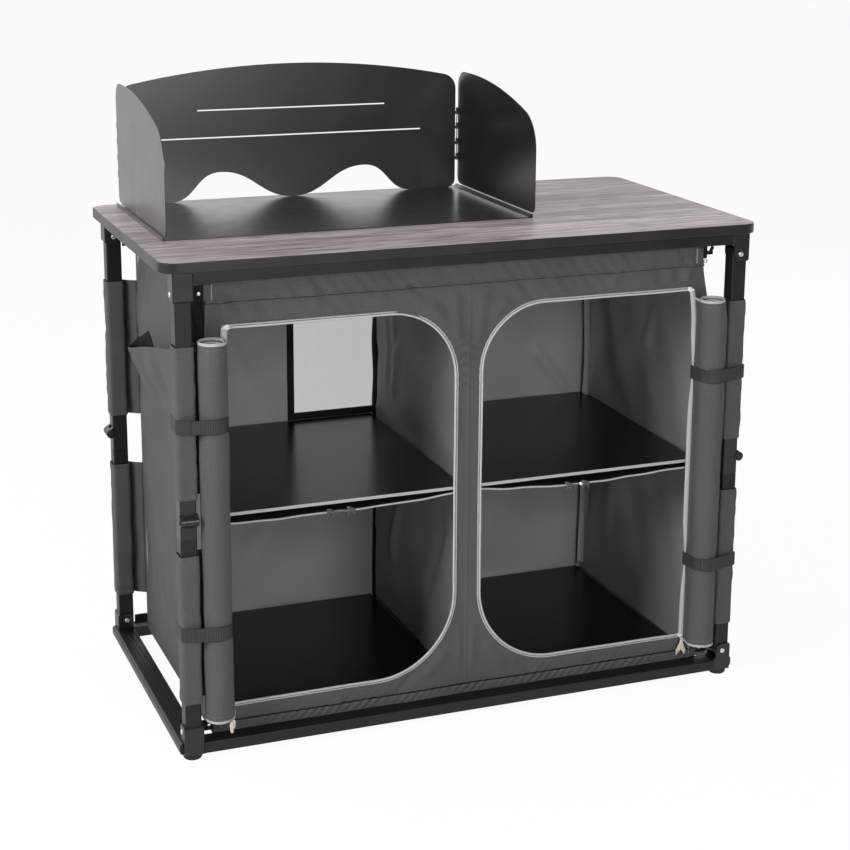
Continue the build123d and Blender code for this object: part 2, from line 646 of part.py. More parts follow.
def door_zip():
    """The right door's zip tape, along the three sides that open."""
    opening = door_opening()
    band = offset(opening, ZIP_WIDTH) - opening
    side_x = CABINET_HALF_WIDTH - DOOR_SIDE_MARGIN
    beyond = Pos(side_x + ZIP_WIDTH, (DOOR_TOP + DOOR_BOTTOM) / 2)
    band -= beyond * Rectangle(2 * ZIP_WIDTH, DOOR_TOP)
    return upright_sheet(band, -CABINET_HALF_DEPTH - ZIP_THICKNESS, ZIP_THICKNESS)


def zip_pull():
    """The right zip's pull: a tapered tab with a hole, hung at the end of the lower tape."""
    x_middle = CABINET_HALF_WIDTH - DOOR_SIDE_MARGIN - PULL_WIDTH / 2
    top = DOOR_BOTTOM - ZIP_WIDTH / 2
    tab = make_face(
        Polyline(
            (x_middle - PULL_WIDTH / 2, top),
            (x_middle + PULL_WIDTH / 2, top),
            (x_middle + PULL_TIP_WIDTH / 2, top - PULL_LENGTH),
            (x_middle - PULL_TIP_WIDTH / 2, top - PULL_LENGTH),
            close=True,
        )
    )
    tab -= Pos(x_middle, top - PULL_LENGTH + PULL_TIP_WIDTH) * Circle(PULL_HOLE_RADIUS)
    front = -CABINET_HALF_DEPTH - ZIP_THICKNESS - PULL_THICKNESS
    return upright_sheet(tab, front, PULL_THICKNESS)


def windscreen_base_plate():
    """The plate on the worktop, its two side edges folded up into a hollow ridge."""
    inner = PLATE_HALF_WIDTH - RIM_WIDTH
    crest = PLATE_HALF_WIDTH - SHEET
    ridge = make_face(
        Polyline(
            (inner, 0),
            (inner, SHEET),
            (crest, RIM_HEIGHT),
            (PLATE_HALF_WIDTH, RIM_HEIGHT),
            (PLATE_HALF_WIDTH, 0),
            (crest, 0),
            (crest, RIM_HEIGHT - 2 * SHEET),
            (inner + SHEET, 0),
            close=True,
        )
    )
    section = ridge + mirror(ridge, Plane.YZ) + Pos(0, SHEET / 2) * Rectangle(2 * inner, SHEET)
    plate = Pos(0, PLATE_REAR, 0) * extrude(Plane.XZ * section, PLATE_DEPTH)
    return Pos(SCREEN_X, 0, TOP_HEIGHT) * plate


def knuckle_ranges(own):
    """The heights of the panel's knuckles (own 0) or of the wing's (own 1), above the plate."""
    pitch = HINGE_KNUCKLE_LENGTH + HINGE_KNUCKLE_PLAY
    for middle in HINGE_HEIGHTS:
        low = middle - pitch + HINGE_KNUCKLE_PLAY / 2 + own * pitch
        yield low, low + HINGE_KNUCKLE_LENGTH


def screen_outline():
    """The back panel's outline in X and Z: a bowed top, rounded corners and a scalloped foot."""
    half = HINGE_HALF_WIDTH - HINGE_SLIT
    shoulder = PANEL_HEIGHT - PANEL_TOP_RADIUS + math.sqrt(PANEL_TOP_RADIUS**2 - half**2)
    level = ((1, 0), (1, 0))
    lines = [
        Line((-SCALLOP_OUTER, 0), (-half, 0)),
        Line((-half, 0), (-half, shoulder)),
        ThreePointArc((-half, shoulder), (0, PANEL_HEIGHT), (half, shoulder)),
        Line((half, shoulder), (half, 0)),
        Line((half, 0), (SCALLOP_OUTER, 0)),
        Spline((SCALLOP_APEX, SCALLOP_HEIGHT), (SCALLOP_OUTER, 0), tangents=level),
        Spline((0, 0), (SCALLOP_APEX, SCALLOP_HEIGHT), tangents=level),
        Spline((-SCALLOP_APEX, SCALLOP_HEIGHT), (0, 0), tangents=level),
        Spline((-SCALLOP_OUTER, 0), (-SCALLOP_APEX, SCALLOP_HEIGHT), tangents=level),
    ]
    outline = make_face(lines)
    tops = [v for v in outline.vertices() if abs(v.X) > half - 1 and v.Y > shoulder - 1]
    outline = fillet(tops, PANEL_TOP_CORNER)
    feet = [v for v in outline.vertices() if abs(v.X) > half - 1 and v.Y < 1]
    outline = fillet(feet, PANEL_FOOT_CORNER)
    for height, half_length in SLOTS:
        outline -= Pos(0, height) * SlotOverall(2 * half_length, SLOT_HEIGHT)
    return outline


def hinge_knuckle(z_range, reach):
    """A rolled knuckle on the Z axis, with its leaf running to -X by reach, tangent at +Y."""
    low, high = z_range
    middle = (low + high) / 2
    body = Pos(0, 0, middle) * Cylinder(HINGE_KNUCKLE_RADIUS, high - low)
    body += block((-reach, 0), (HINGE_KNUCKLE_RADIUS - SHEET, HINGE_KNUCKLE_RADIUS), z_range)
    return body - Pos(0, 0, middle) * Cylinder(HINGE_PIN_RADIUS + HINGE_PIN_PLAY, high - low)


def windscreen_back_panel():
    """The back panel with its knuckles on both sides."""
    rear_face = HINGE_Y + HINGE_KNUCKLE_RADIUS
    body = upright_sheet(screen_outline(), rear_face - SHEET, SHEET)
    for z_range in knuckle_ranges(0):
        rolled = Pos(HINGE_HALF_WIDTH, HINGE_Y, 0) * hinge_knuckle(z_range, HINGE_SLIT)
        body = body + rolled + mirrored_x(rolled)
    return Pos(SCREEN_X, 0, PLATE_TOP) * body


def wing_outline():
    """A wing in Y and Z: upright rear edge, a top that falls forward, and rounded corners."""
    rear = HINGE_Y - HINGE_SLIT
    lines = [
        Line((WING_FRONT, WING_LIFT), (rear, WING_LIFT)),
        Line((rear, WING_LIFT), (rear, WING_REAR_HEIGHT)),
        ThreePointArc(
            (rear, WING_REAR_HEIGHT),
            (WING_MIDDLE_Y, WING_MIDDLE_HEIGHT),
            (WING_FRONT, WING_FRONT_HEIGHT),
        ),
        Line((WING_FRONT, WING_FRONT_HEIGHT), (WING_FRONT, WING_LIFT)),
    ]
    outline = make_face(lines)
    corners = (
        ((rear, WING_LIFT), WING_REAR_LOW_CORNER),
        ((WING_FRONT, WING_LIFT), WING_FRONT_LOW_CORNER),
        ((rear, WING_REAR_HEIGHT), WING_REAR_TOP_CORNER),
        ((WING_FRONT, WING_FRONT_HEIGHT), WING_FRONT_TOP_CORNER),
    )
    for (across, height), radius in corners:
        nearest = outline.vertices().sort_by_distance((across, height, 0))[0]
        outline = fillet(nearest, radius)
    return outline


def windscreen_right_wing():
    """The right wing, its outer face level with the outside of its knuckles."""
    inner_x = HINGE_KNUCKLE_RADIUS - SHEET
    body = Pos(inner_x, 0, 0) * extrude(Plane.YZ * wing_outline(), SHEET)
    for z_range in knuckle_ranges(1):
        leaf = Rot(0, 0, 90) * mirror(hinge_knuckle(z_range, HINGE_SLIT), Plane.XZ)
        body += Pos(0, HINGE_Y, 0) * leaf
    return Pos(SCREEN_X + HINGE_HALF_WIDTH, 0, PLATE_TOP) * body


def windscreen_hinge_pin():
    """The right hinge's long pin."""
    overrun = HINGE_KNUCKLE_LENGTH + HINGE_KNUCKLE_PLAY + HINGE_PIN_OVERRUN
    low = HINGE_HEIGHTS[0] - overrun
    high = HINGE_HEIGHTS[-1] + overrun
    pin = Cylinder(HINGE_PIN_RADIUS, high - low)
    return Pos(SCREEN_X + HINGE_HALF_WIDTH, HINGE_Y, PLATE_TOP + (low + high) / 2) * pin


def other_screen_side(shape):
    """The same windscreen piece on the other side of the windscreen's middle."""
    return mirror(shape, Plane.YZ.offset(SCREEN_X))


def write_frames():
    """The bottom frame and the top frame with the worktop."""
    front = bottom_front_rail()
    right = bottom_right_rail()
    write("bottom_front_rail", front)
    write("bottom_rear_rail", mirror(front, Plane.XZ))
    write("bottom_right_rail", right)
    write("bottom_left_rail", mirrored_x(right))
    write("bottom_corner_brackets", *[bottom_bracket(corner) for corner in LEGS])
    write("bottom_feet", *[at_corner(corner, foot()) for corner in LEGS])
    pivot = rivet(BRACKET_SIZE / 2)
    low_pivots = [at_corner(corner, Pos(0, 0, LOW_PIVOT_Z) * pivot) for corner in LEGS]
    top_pivots = [at_corner(corner, Pos(0, 0, TOP_PIVOT_Z) * pivot) for corner in LEGS]
    write("bottom_pivot_rivets", *low_pivots)
    front = top_front_rail()
    right = top_right_rail()
    write("top_front_rail", front)
    write("top_rear_rail", mirror(front, Plane.XZ))
    write("top_right_rail", right)
    write("top_left_rail", mirrored_x(right))
    write("top_corner_brackets", *[top_bracket(corner) for corner in LEGS])
    write("top_pivot_rivets", *top_pivots)
    write("tabletop_board", tabletop_board())
    write("tabletop_edge_band", tabletop_edge_band())


def write_legs():
    """Four legs of two tubes, with their knees and cloth sleeves."""
    for corner in LEGS:
        write(corner + "_lower_tube", at_corner(corner, lower_tube()))
        write(
            corner + "_lower_knuckle",
            at_corner(corner, lower_knuckle()),
            at_corner(corner, knee_rivet()),
        )
        write(corner + "_upper_tube", at_corner(corner, upper_tube()))
        write(corner + "_upper_knuckle", at_corner(corner, upper_knuckle()))
        low = sleeve((LOW_SLEEVE_BOTTOM, LOW_SLEEVE_TOP))
        high = sleeve((HIGH_SLEEVE_BOTTOM, HIGH_SLEEVE_TOP))
        write(corner + "_lower_sleeve", at_corner(corner, low))
        write(corner + "_upper_sleeve", at_corner(corner, high))


def write_cupboard():
    """The cloth cupboard with its boards, pocket, rolled doors, straps and zips."""
    write("cabinet_front", cabinet_front())
    write("cabinet_back", *cabinet_back())
    side = cabinet_right_side()
    write("cabinet_right_side", side)
    write("cabinet_left_side", mirrored_x(side))
    write("cabinet_floor", cabinet_floor())
    write("cabinet_divider", cabinet_divider())
    sling = shelf_sling()
    write("shelf_slings", mirrored_x(sling), sling)
    low = board(FLOOR_CLOTH_Z + CLOTH + BOARD_LIFT)
    high = board(SHELF_BOTTOM_Z)
    write("bottom_board_right", low)
    write("bottom_board_left", mirrored_x(low))
    write("upper_shelf_right", high)
    write("upper_shelf_left", mirrored_x(high))
    write("side_pocket", side_pocket())
    roll = right_door_roll()
    write("right_door_roll", roll)
    write("left_door_roll", mirrored_x(roll))
    straps = [door_strap(height) for height in STRAP_HEIGHTS]
    write("door_straps", *straps, *[mirrored_x(strap) for strap in straps])
    zips = [door_zip(), zip_pull()]
    write("door_zips", *zips, *[mirrored_x(piece) for piece in zips])


def write_windscreen():
    """The windscreen: base plate, back panel, two wings and their hinge pins."""
    wing = windscreen_right_wing()
    pin = windscreen_hinge_pin()
    write("windscreen_base_plate", windscreen_base_plate())
    write("windscreen_back_panel", windscreen_back_panel())
    write("windscreen_right_wing", wing)
    write("windscreen_left_wing", other_screen_side(wing))
    write("windscreen_hinge_pins", other_screen_side(pin), pin)


os.makedirs("parts", exist_ok=True)
write_frames()
write_legs()
write_cupboard()
write_windscreen()
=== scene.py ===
import math

import bmesh
import bpy
import numpy as np
from mathutils import Matrix, Vector


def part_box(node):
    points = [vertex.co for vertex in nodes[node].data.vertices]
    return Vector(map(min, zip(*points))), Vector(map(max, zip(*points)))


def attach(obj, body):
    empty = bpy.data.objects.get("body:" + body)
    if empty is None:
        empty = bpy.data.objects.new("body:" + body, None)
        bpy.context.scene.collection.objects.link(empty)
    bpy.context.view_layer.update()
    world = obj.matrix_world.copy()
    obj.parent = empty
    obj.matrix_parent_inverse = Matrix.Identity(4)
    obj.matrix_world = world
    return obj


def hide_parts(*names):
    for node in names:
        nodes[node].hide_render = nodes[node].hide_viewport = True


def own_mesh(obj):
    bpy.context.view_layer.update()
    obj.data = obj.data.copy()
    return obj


# Folding camping kitchen cupboard: its cloth, webbing, zips and trim, and the finish of every part.
# Shapes are worked out in millimetres and made in metres. X runs along the worktop to the right,
# Y to the rear, Z up from the floor.

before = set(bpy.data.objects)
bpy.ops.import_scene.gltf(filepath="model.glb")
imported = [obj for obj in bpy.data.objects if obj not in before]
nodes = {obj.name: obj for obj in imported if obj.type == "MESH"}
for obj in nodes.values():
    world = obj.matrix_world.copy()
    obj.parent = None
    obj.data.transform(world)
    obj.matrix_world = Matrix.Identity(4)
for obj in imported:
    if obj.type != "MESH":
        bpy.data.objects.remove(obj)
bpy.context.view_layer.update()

MM = 0.001


# Helpers for shapes


def span(node):
    """A node's lowest and highest corner in millimetres."""
    low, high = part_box(node)
    return np.array(low) / MM, np.array(high) / MM


def shares(count):
    """Evenly spread numbers from 0 to 1."""
    return np.linspace(0, 1, count)


def lattice(columns, rows):
    """Two arrays of a grid's parameters, from 0 to 1 along the columns and along the rows."""
    return np.meshgrid(shares(columns), shares(rows))


def stack(*coordinates):
    """Arrays or numbers of like shape joined into one array of points."""
    return np.stack(np.broadcast_arrays(*coordinates), axis=-1).astype(float)


def ease(value):
    """A smooth step from 0 to 1 as value goes from 0 to 1: three squares less two cubes."""
    value = np.clip(value, 0, 1)
    return value * value * (3 - 2 * value)


def bell(distance, width):
    """A bell curve of height 1, which falls to a third at width from its middle."""
    return np.exp(-(distance / width) ** 2)


def lengths_along(points):
    """The distance walked along a row of points, from its first to each of them."""
    steps = np.linalg.norm(np.diff(points, axis=0), axis=1)
    return np.concatenate([[0], np.cumsum(steps)])


def read_off(at, walked, rows):
    """Rows of values read off at these distances, walked being the distance of each row."""
    return stack(*[np.interp(at, walked, column) for column in rows.T])


def spread(points, count):
    """A row of points drawn again with count points at even distances."""
    walked = lengths_along(points)
    return read_off(np.linspace(0, walked[-1], count), walked, points)


def arc(centre, radius, start, end, count=24):
    """Points on a circle from one angle to another, in degrees."""
    angle = np.radians(np.linspace(start, end, count))
    return stack(centre[0] + radius * np.cos(angle), centre[1] + radius * np.sin(angle))


def creases(across, up, lines):
    """Ridges along straight lines: a bell across each line, eased to nothing at its two ends.

    A line is (across, up) of its start, the same of its end, its height and its half width.
    """
    total = np.zeros_like(across)
    for start_a, start_u, end_a, end_u, height, width in lines:
        run = np.array([end_a - start_a, end_u - start_u], float)
        length = np.linalg.norm(run)
        run /= length
        along = ((across - start_a) * run[0] + (up - start_u) * run[1]) / length
        off = (across - start_a) * run[1] - (up - start_u) * run[0]
        total += height * bell(off, width) * ease(4 * along) * ease(4 * (1 - along))
    return total


def unevenness(across, up, seed, lengths, height):
    """Soft waves: the sum of seeded sine waves in all directions, of these shortest and longest lengths."""
    rng = np.random.default_rng(seed)
    total = np.zeros_like(across)
    count = 14
    for _ in range(count):
        wave = rng.uniform(*lengths)
        heading = rng.uniform(0, math.pi)
        phase = rng.uniform(0, math.tau)
        along = across * math.cos(heading) + up * math.sin(heading)
        total += np.sin(math.tau * along / wave + phase)
    return height * total / math.sqrt(count)


def gathers(along, seed, lengths):
    """Uneven ripples of height 1 along one line: five seeded sine waves of near lengths."""
    rng = np.random.default_rng(seed)
    total = np.zeros_like(along)
    for _ in range(5):
        total += np.sin(math.tau * along / rng.uniform(*lengths) + rng.uniform(0, math.tau))
    return total / 3


def places(across, up):
    """Flat places on a grid, from its places along the columns and along the rows."""
    return stack(*np.meshgrid(across, up))


def unit(vectors):
    """Each of a row of vectors drawn to length 1."""
    return vectors / np.linalg.norm(vectors, axis=1)[:, None]


def flipped(points, flat, finish=0):
    """A patch with its columns reversed, so that it looks the other way."""
    if np.ndim(finish):
        finish = finish[:, ::-1]
    return points[:, ::-1], flat[:, ::-1], finish


def mirrored(patches):
    """The same patches on the other side of X = 0."""
    return [flipped(points * (-1, 1, 1), flat, finish) for points, flat, finish in patches]


def sweep(path, across, outward, profile, finish=0):
    """A patch with a profile carried along a path.

    Each point is the path's point, plus the profile's first value along across and its second
    along outward, each of them one direction or a row of them. The flat place is the path's
    walked length and the profile's.
    """
    points = path + profile[:, None, :1] * across + profile[:, None, 1:2] * outward
    return points, places(lengths_along(path), lengths_along(profile)), finish


def stitches(path, out, finish, pitch=4.0, size=(2.7, 0.9, 0.35)):
    """A row of stitches along a path, one at each pitch, as patches.

    Each is a small dome of thread, whose size is its length, width and height. It rises by the
    root of a cosine over its length, times a cosine over its width. out is the direction away
    from the cloth, or a row of them.
    """
    length, width, height = size
    walked = lengths_along(path)
    middles = np.arange(pitch / 2, walked[-1], pitch)
    rows = path, np.gradient(path, walked, axis=0), np.broadcast_to(out, path.shape)
    place, run, away = [read_off(middles, walked, row)[:, None, None] for row in rows]
    aside = np.cross(away, run)
    a, b = 2 * np.array(lattice(5, 5)) - 1
    rise = height * np.sqrt(np.cos(a * 1.5)) * np.cos(b * 1.5)
    domes = place + run * (a * length / 2)[..., None]
    domes = domes + aside * (b * width / 2)[..., None] + away * rise[..., None]
    return [(dome, stack(a, b), finish) for dome in domes]


def build(name, patches, finishes, wall=0.0, offset=-1.0, lined=False, merge=0.02, sharp=50):
    """Makes one mesh object from patches, each of (points, flat places, finish number).

    Points and flat places are arrays of rows x columns in millimetres. A patch looks towards
    its columns' direction crossed with its rows' direction. Points nearer than merge are joined,
    and edges sharper than an angle in degrees stay sharp. wall gives the sheet its thickness,
    behind its face at an offset of -1 and before it at 1. A lined wall has the next finish on its
    inner side.
    """
    sets = []
    start = 0
    for points, flat, finish in patches:
        rows, columns = points.shape[:2]
        index = start + np.arange(rows * columns).reshape(rows, columns)
        quads = np.stack([index[:-1, :-1], index[:-1, 1:], index[1:, 1:], index[1:, :-1]], axis=-1)
        numbers = np.broadcast_to(finish, quads.shape[:2])
        sets.append((points.reshape(-1, 3), flat.reshape(-1, 2), quads.reshape(-1, 4), numbers.reshape(-1)))
        start += rows * columns
    corners, flats, quads, numbers = [np.concatenate(parts) for parts in zip(*sets)]
    mesh = bpy.data.meshes.new(name)
    mesh.from_pydata((corners * MM).tolist(), [], quads.tolist())
    layer = mesh.uv_layers.new(name="cut")
    layer.data.foreach_set("uv", (flats * MM)[quads.reshape(-1)].reshape(-1))
    mesh.polygons.foreach_set("material_index", numbers.astype(np.int32))
    shape = bmesh.new()
    shape.from_mesh(mesh)
    bmesh.ops.remove_doubles(shape, verts=shape.verts, dist=merge * MM)
    bmesh.ops.dissolve_degenerate(shape, edges=shape.edges, dist=merge * MM / 4)
    shape.to_mesh(mesh)
    shape.free()
    mesh.shade_smooth()
    mesh.set_sharp_from_angle(angle=math.radians(sharp))
    for finish in finishes:
        mesh.materials.append(finish)
    piece = bpy.data.objects.new(name, mesh)
    bpy.context.scene.collection.objects.link(piece)
    if wall:
        thick = piece.modifiers.new("wall", "SOLIDIFY")
        thick.thickness = wall * MM
        thick.offset = offset
        thick.material_offset = 1 if lined else 0
    return piece


def mount(piece, body, slot, *replaced):
    """Lets a piece ride on a body and stand for these nodes. Its slot is not used."""
    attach(piece, body)
    if replaced:
        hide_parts(*replaced)


# Sizes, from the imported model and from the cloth's own cut

cloth_low, cloth_high = span("cabinet_front")
HALF_WIDTH = cloth_high[0]
FRONT_Y = cloth_low[1]
CLOTH_BOTTOM = cloth_low[2]
CLOTH_TOP = cloth_high[2]
BACK_Y = span("cabinet_back")[1][1]
FLOOR_Z = span("cabinet_floor")[1][2]
SLING_Z = span("shelf_slings")[1][2]
MIDDLE_Y = (FRONT_Y + BACK_Y) / 2
CLOTH_HEIGHT = CLOTH_TOP - CLOTH_BOTTOM
CLOTH_DEPTH = BACK_Y - FRONT_Y
WALL = 1.3

DOOR_INNER = 22.0
DOOR_OUTER = HALF_WIDTH - 26.0
DOOR_BOTTOM = CLOTH_BOTTOM + 45.0
DOOR_TOP = CLOTH_TOP - 74.6
LOW_CORNER = 130.0
HIGH_CORNER = 105.0
LOW_CENTRE = (DOOR_INNER + LOW_CORNER, DOOR_BOTTOM + LOW_CORNER)
HIGH_CENTRE = (DOOR_INNER + HIGH_CORNER, DOOR_TOP - HIGH_CORNER)
TOP_SEAM = CLOTH_TOP - 34.0
LOW_SEAM = CLOTH_BOTTOM + 15.0
CORNER_SEAM = 404.0
ZIP_STITCHES = 9.5

WINDOW_HALF_WIDTH = 147.0
WINDOW_TOP = CLOTH_TOP - 97.6
WINDOW_BOTTOM = span("upper_shelf_left")[0][2] + 15.4
WINDOW_HEIGHT = WINDOW_TOP - WINDOW_BOTTOM

CORNERS = {"fl": (-1, -1), "bl": (-1, 1), "br": (1, 1), "fr": (1, -1)}
SIDES = {-1: "left", 1: "right"}

roll_low, roll_high = span("right_door_roll")
ROLL_X, ROLL_Y, ROLL_MIDDLE = (roll_low + roll_high) / 2
ROLL_BOTTOM, ROLL_TOP = roll_low[2], roll_high[2]
ROLL_RADIUS = (roll_high[0] - roll_low[0]) / 2
ROLL_PINCH = 21.0
ROLL_PITCH = 4.5
ROLL_TURNS = 4.8
ROLL_CLOTH = 1.1
STRAP_HEIGHTS = (ROLL_BOTTOM + 145.0, ROLL_TOP - 124.0)
STRAP_WIDTH = 22.0
STRAP_THICKNESS = 1.5
PIPING_X = DOOR_OUTER - 1.4
PIPING_Y = FRONT_Y - 3.6
PIPING_PINCH = 2.2

SLING_FRONT = FRONT_Y + WALL + 2
TAB_HEIGHTS = ((705.0, 730.0), (34.0, 52.0))

POCKET_FRONT = span("side_pocket")[0][1]
POCKET_REAR = 221.0
# Its mouth is level up to a place along Y, and falls behind it by this share
POCKET_MOUTH = 607.0
MOUTH_BEND = -95.0
MOUTH_FALL = 0.225
HEM_HEIGHT = 7.5
GUSSET_HEIGHT = 50.0
# The pocket's lower seam rises towards the rear, as a curve near these places along Y and Z
seam_y, seam_z = (-195, -36, 53, 101, 182, 221), (454, 454, 459, 469, 500, 520)
POCKET_SEAM = np.polynomial.Polynomial.fit(seam_y, seam_z, 4)

WEB_WIDTH = 22.0


# Helpers for materials


def linear(hex_colour):
    """An sRGB hex colour as linear red, green, blue and alpha."""
    channels = [int(hex_colour[place:place + 2], 16) / 255 for place in (1, 3, 5)]
    return [c / 12.92 if c <= 0.04045 else ((c + 0.055) / 1.055) ** 2.4 for c in channels] + [1.0]


def add(tree, kind, inputs=None, **settings):
    """Adds a node to a tree, with its settings, and gives each input a value or a link."""
    node = tree.nodes.new("ShaderNode" + kind)
    for name, value in settings.items():
        setattr(node, name, value)
    for socket, value in (inputs or {}).items():
        if isinstance(value, bpy.types.NodeSocket):
            tree.links.new(value, node.inputs[socket])
        else:
            node.inputs[socket].default_value = value
    return node


def new_material(name, coordinates="Object"):
    """An empty material, its node tree, and the coordinates that its pattern lies in."""
    made = bpy.data.materials.new(name)
    made.use_nodes = True
    made.node_tree.nodes.clear()
    return made, made.node_tree, add(made.node_tree, "TexCoord").outputs[coordinates]


def surface(tree, colour, roughness, relief=None, others=None):
    """Gives a material its shader.

    relief holds a height, the strength of its bump and its depth in millimetres. others holds
    the shader's further inputs.
    """
    inputs = {"Base Color": colour, "Roughness": roughness, **(others or {})}
    if relief:
        height, strength, depth = relief
        bump = add(tree, "Bump", {"Height": height, "Strength": strength, "Distance": depth * MM})
        inputs["Normal"] = bump.outputs[0]
    shader = add(tree, "BsdfPrincipled", inputs)
    add(tree, "OutputMaterial", {"Surface": shader.outputs[0]})


def maths(tree, operation, *values):
    """The result of an operation on these values."""
    return add(tree, "Math", dict(enumerate(values)), operation=operation).outputs[0]


def remap(tree, value, start=0.0, end=1.0, low=0.0, high=1.0):
    """A value between start and end, moved to between low and high."""
    return add(tree, "MapRange", {"Value": value, 1: start, 2: end, 3: low, 4: high}).outputs[0]


def blend(tree, share, low, high):
    """A colour between two, each of which is a hex colour or another node's."""
    low, high = [linear(end) if isinstance(end, str) else end for end in (low, high)]
    return add(tree, "Mix", {0: share, 6: low, 7: high}, data_type="RGBA").outputs[2]


def scaled(tree, place, scale):
    """Coordinates multiplied by a number for each axis."""
    return add(tree, "Mapping", {"Vector": place, "Scale": scale}).outputs[0]


def noise(tree, place, scale, detail=2.0, others=None):
    """Noise over these coordinates, with scale the number of its bumps to a unit."""
    inputs = {"Vector": place, "Scale": scale, "Detail": detail, **(others or {})}
    return add(tree, "TexNoise", inputs).outputs["Fac"]


def sine_bands(tree, place, directions="XY"):
    """For each direction, sine bands that lie one unit apart along it."""
    bands = []
    for direction in directions:
        # A band texture has one band each 2 pi / 20 units at scale 1
        band = add(
            tree, "TexWave", {"Vector": place, "Scale": math.pi / 10},
            wave_type="BANDS", bands_direction=direction, wave_profile="SIN",
        )
        bands.append(band.outputs["Fac"])
    return bands


def woven_cloth(name, dark, light, pitch, roughness, sheen, depth, shine=0.5):
    """Plain weave: warp and weft as two rows of sine bands, shown in turn as a chequer tells.

    pitch is the thread spacing in millimetres, depth the height of the threads, and shine the
    strength of their own reflection.
    """
    made, tree, place = new_material(name, "UV")
    threads = scaled(tree, place, (1000 / pitch, 1000 / pitch, 1))
    warp, weft = sine_bands(tree, threads)
    over = add(tree, "TexChecker", {"Vector": threads, "Scale": 1.0})
    height = add(tree, "Mix", {0: over.outputs["Fac"], 2: warp, 3: weft}).outputs[0]
    fleck, patchy = noise(tree, place, 420.0, 3.0), noise(tree, place, 9.0)
    tone = maths(tree, "MULTIPLY", height, 0.55)
    tone = maths(tree, "MULTIPLY_ADD", fleck, 0.8, tone)
    tone = maths(tree, "MULTIPLY_ADD", patchy, 0.3, tone)
    colour = blend(tree, remap(tree, tone, 0.35, 1.25), dark, light)
    surface(tree, colour, roughness, (height, 0.6, depth), {
        "Sheen Weight": sheen, "Sheen Roughness": 0.5, "Specular IOR Level": shine,
    })
    return made


def grained_coat(name, low, high, roughness, grain, depth, shine=0.5, varnish=0.0):
    """An opaque coat with a fine grain: two sizes of noise in colour, roughness and height.

    grain is the size of its bumps in millimetres, shine the strength of its own reflection, and
    varnish the share of a clear layer on top. The roughness varies by a tenth either way.
    """
    made, tree, place = new_material(name)
    fine, broad = noise(tree, place, 1000 / grain), noise(tree, place, 22.0, 4.0)
    gloss = remap(tree, broad, 0.3, 0.7, 0.9 * roughness, 1.1 * roughness)
    surface(tree, blend(tree, broad, low, high), gloss, (fine, 0.5, depth), {
        "Specular IOR Level": shine, "Coat Weight": varnish, "Coat Roughness": 0.22,
    })
    return made


def zip_coil():
    """The zip's nylon coil, light grey, with its teeth 1.3 mm apart along it."""
    made, tree, place = new_material("zip_nylon_coil", "UV")
    tooth = sine_bands(tree, scaled(tree, place, (1000 / 1.3, 0, 0)), "X")[0]
    surface(tree, blend(tree, tooth, "#949494", "#CDCDCD"), 0.5, (tooth, 0.5, 0.2))
    return made


def webbing():
    """Polypropylene webbing: a weave of raised dots, 2.4 mm apart along it and 1.8 mm across it."""
    made, tree, place = new_material("webbing_polypropylene", "UV")
    dots = scaled(tree, place, (1000 / 2.4, 1000 / 1.8, 1))
    height = maths(tree, "MULTIPLY", *sine_bands(tree, dots))
    colour = blend(tree, height, "#161617", "#565658")
    surface(tree, colour, 0.6, (height, 0.8, 0.3), {"Specular IOR Level": 0.35})
    return made


def zinc_plate():
    """Bright zinc-plated steel of rivets and screws, with fine turning marks."""
    made, tree, place = new_material("steel_zinc_plated")
    gloss = remap(tree, noise(tree, place, 900.0), low=0.3, high=0.45)
    surface(tree, linear("#E2E1DD"), gloss, others={"Metallic": 1.0})
    return made


def washed_oak():
    """Melamine laminate printed as washed grey oak: long streaks along X, darker pores and faint
    cathedral bands. Its grain lines lie 1 to 4 mm apart.
    """
    made, tree, place = new_material("laminate_washed_oak")
    streaks = scaled(tree, place, (1.7, 105.0, 105.0))
    fine = noise(tree, streaks, 3.2, 9.0, {"Roughness": 0.72, "Distortion": 0.12})
    bands = noise(tree, scaled(tree, place, (0.9, 11.0, 11.0)), 2.0, 4.0, {"Distortion": 0.8})
    pores = noise(tree, scaled(tree, place, (8.0, 160.0, 160.0)), 2.0)
    tone = maths(tree, "MULTIPLY_ADD", fine, 0.9, maths(tree, "MULTIPLY", bands, 0.35))
    ramp = add(tree, "ValToRGB", {"Fac": tone})
    stops = ramp.color_ramp.elements
    stops.new(0.61)
    for stop, position, shade in zip(stops, (0.5, 0.61, 0.74), ("#5C5152", "#95888A", "#D3C5C6")):
        stop.position = position
        stop.color = linear(shade)
    colour = blend(tree, remap(tree, pores, 0.54, 0.66), ramp.outputs[0], "#635859")
    surface(tree, colour, remap(tree, fine, low=0.36, high=0.5), (fine, 0.3, 0.08))
    return made


def shelf_board():
    """Melamine-faced board: satin black faces, and edges taped in light grey where it looks sideways."""
    made, tree, place = new_material("board_melamine")
    facing = add(tree, "SeparateXYZ", {0: add(tree, "TexCoord").outputs["Normal"]})
    edge = maths(tree, "LESS_THAN", maths(tree, "ABSOLUTE", facing.outputs["Z"]), 0.5)
    fine, broad = noise(tree, place, 300.0), noise(tree, place, 9.0, 1.0)
    colour = blend(tree, edge, blend(tree, broad, "#070708", "#0B0B0C"), "#A3A3A3")
    gloss = remap(tree, broad, 0.3, 0.7, 0.22, 0.25)
    surface(tree, colour, gloss, (fine, 0.15, 0.01), {"Specular IOR Level": 0.35})
    return made


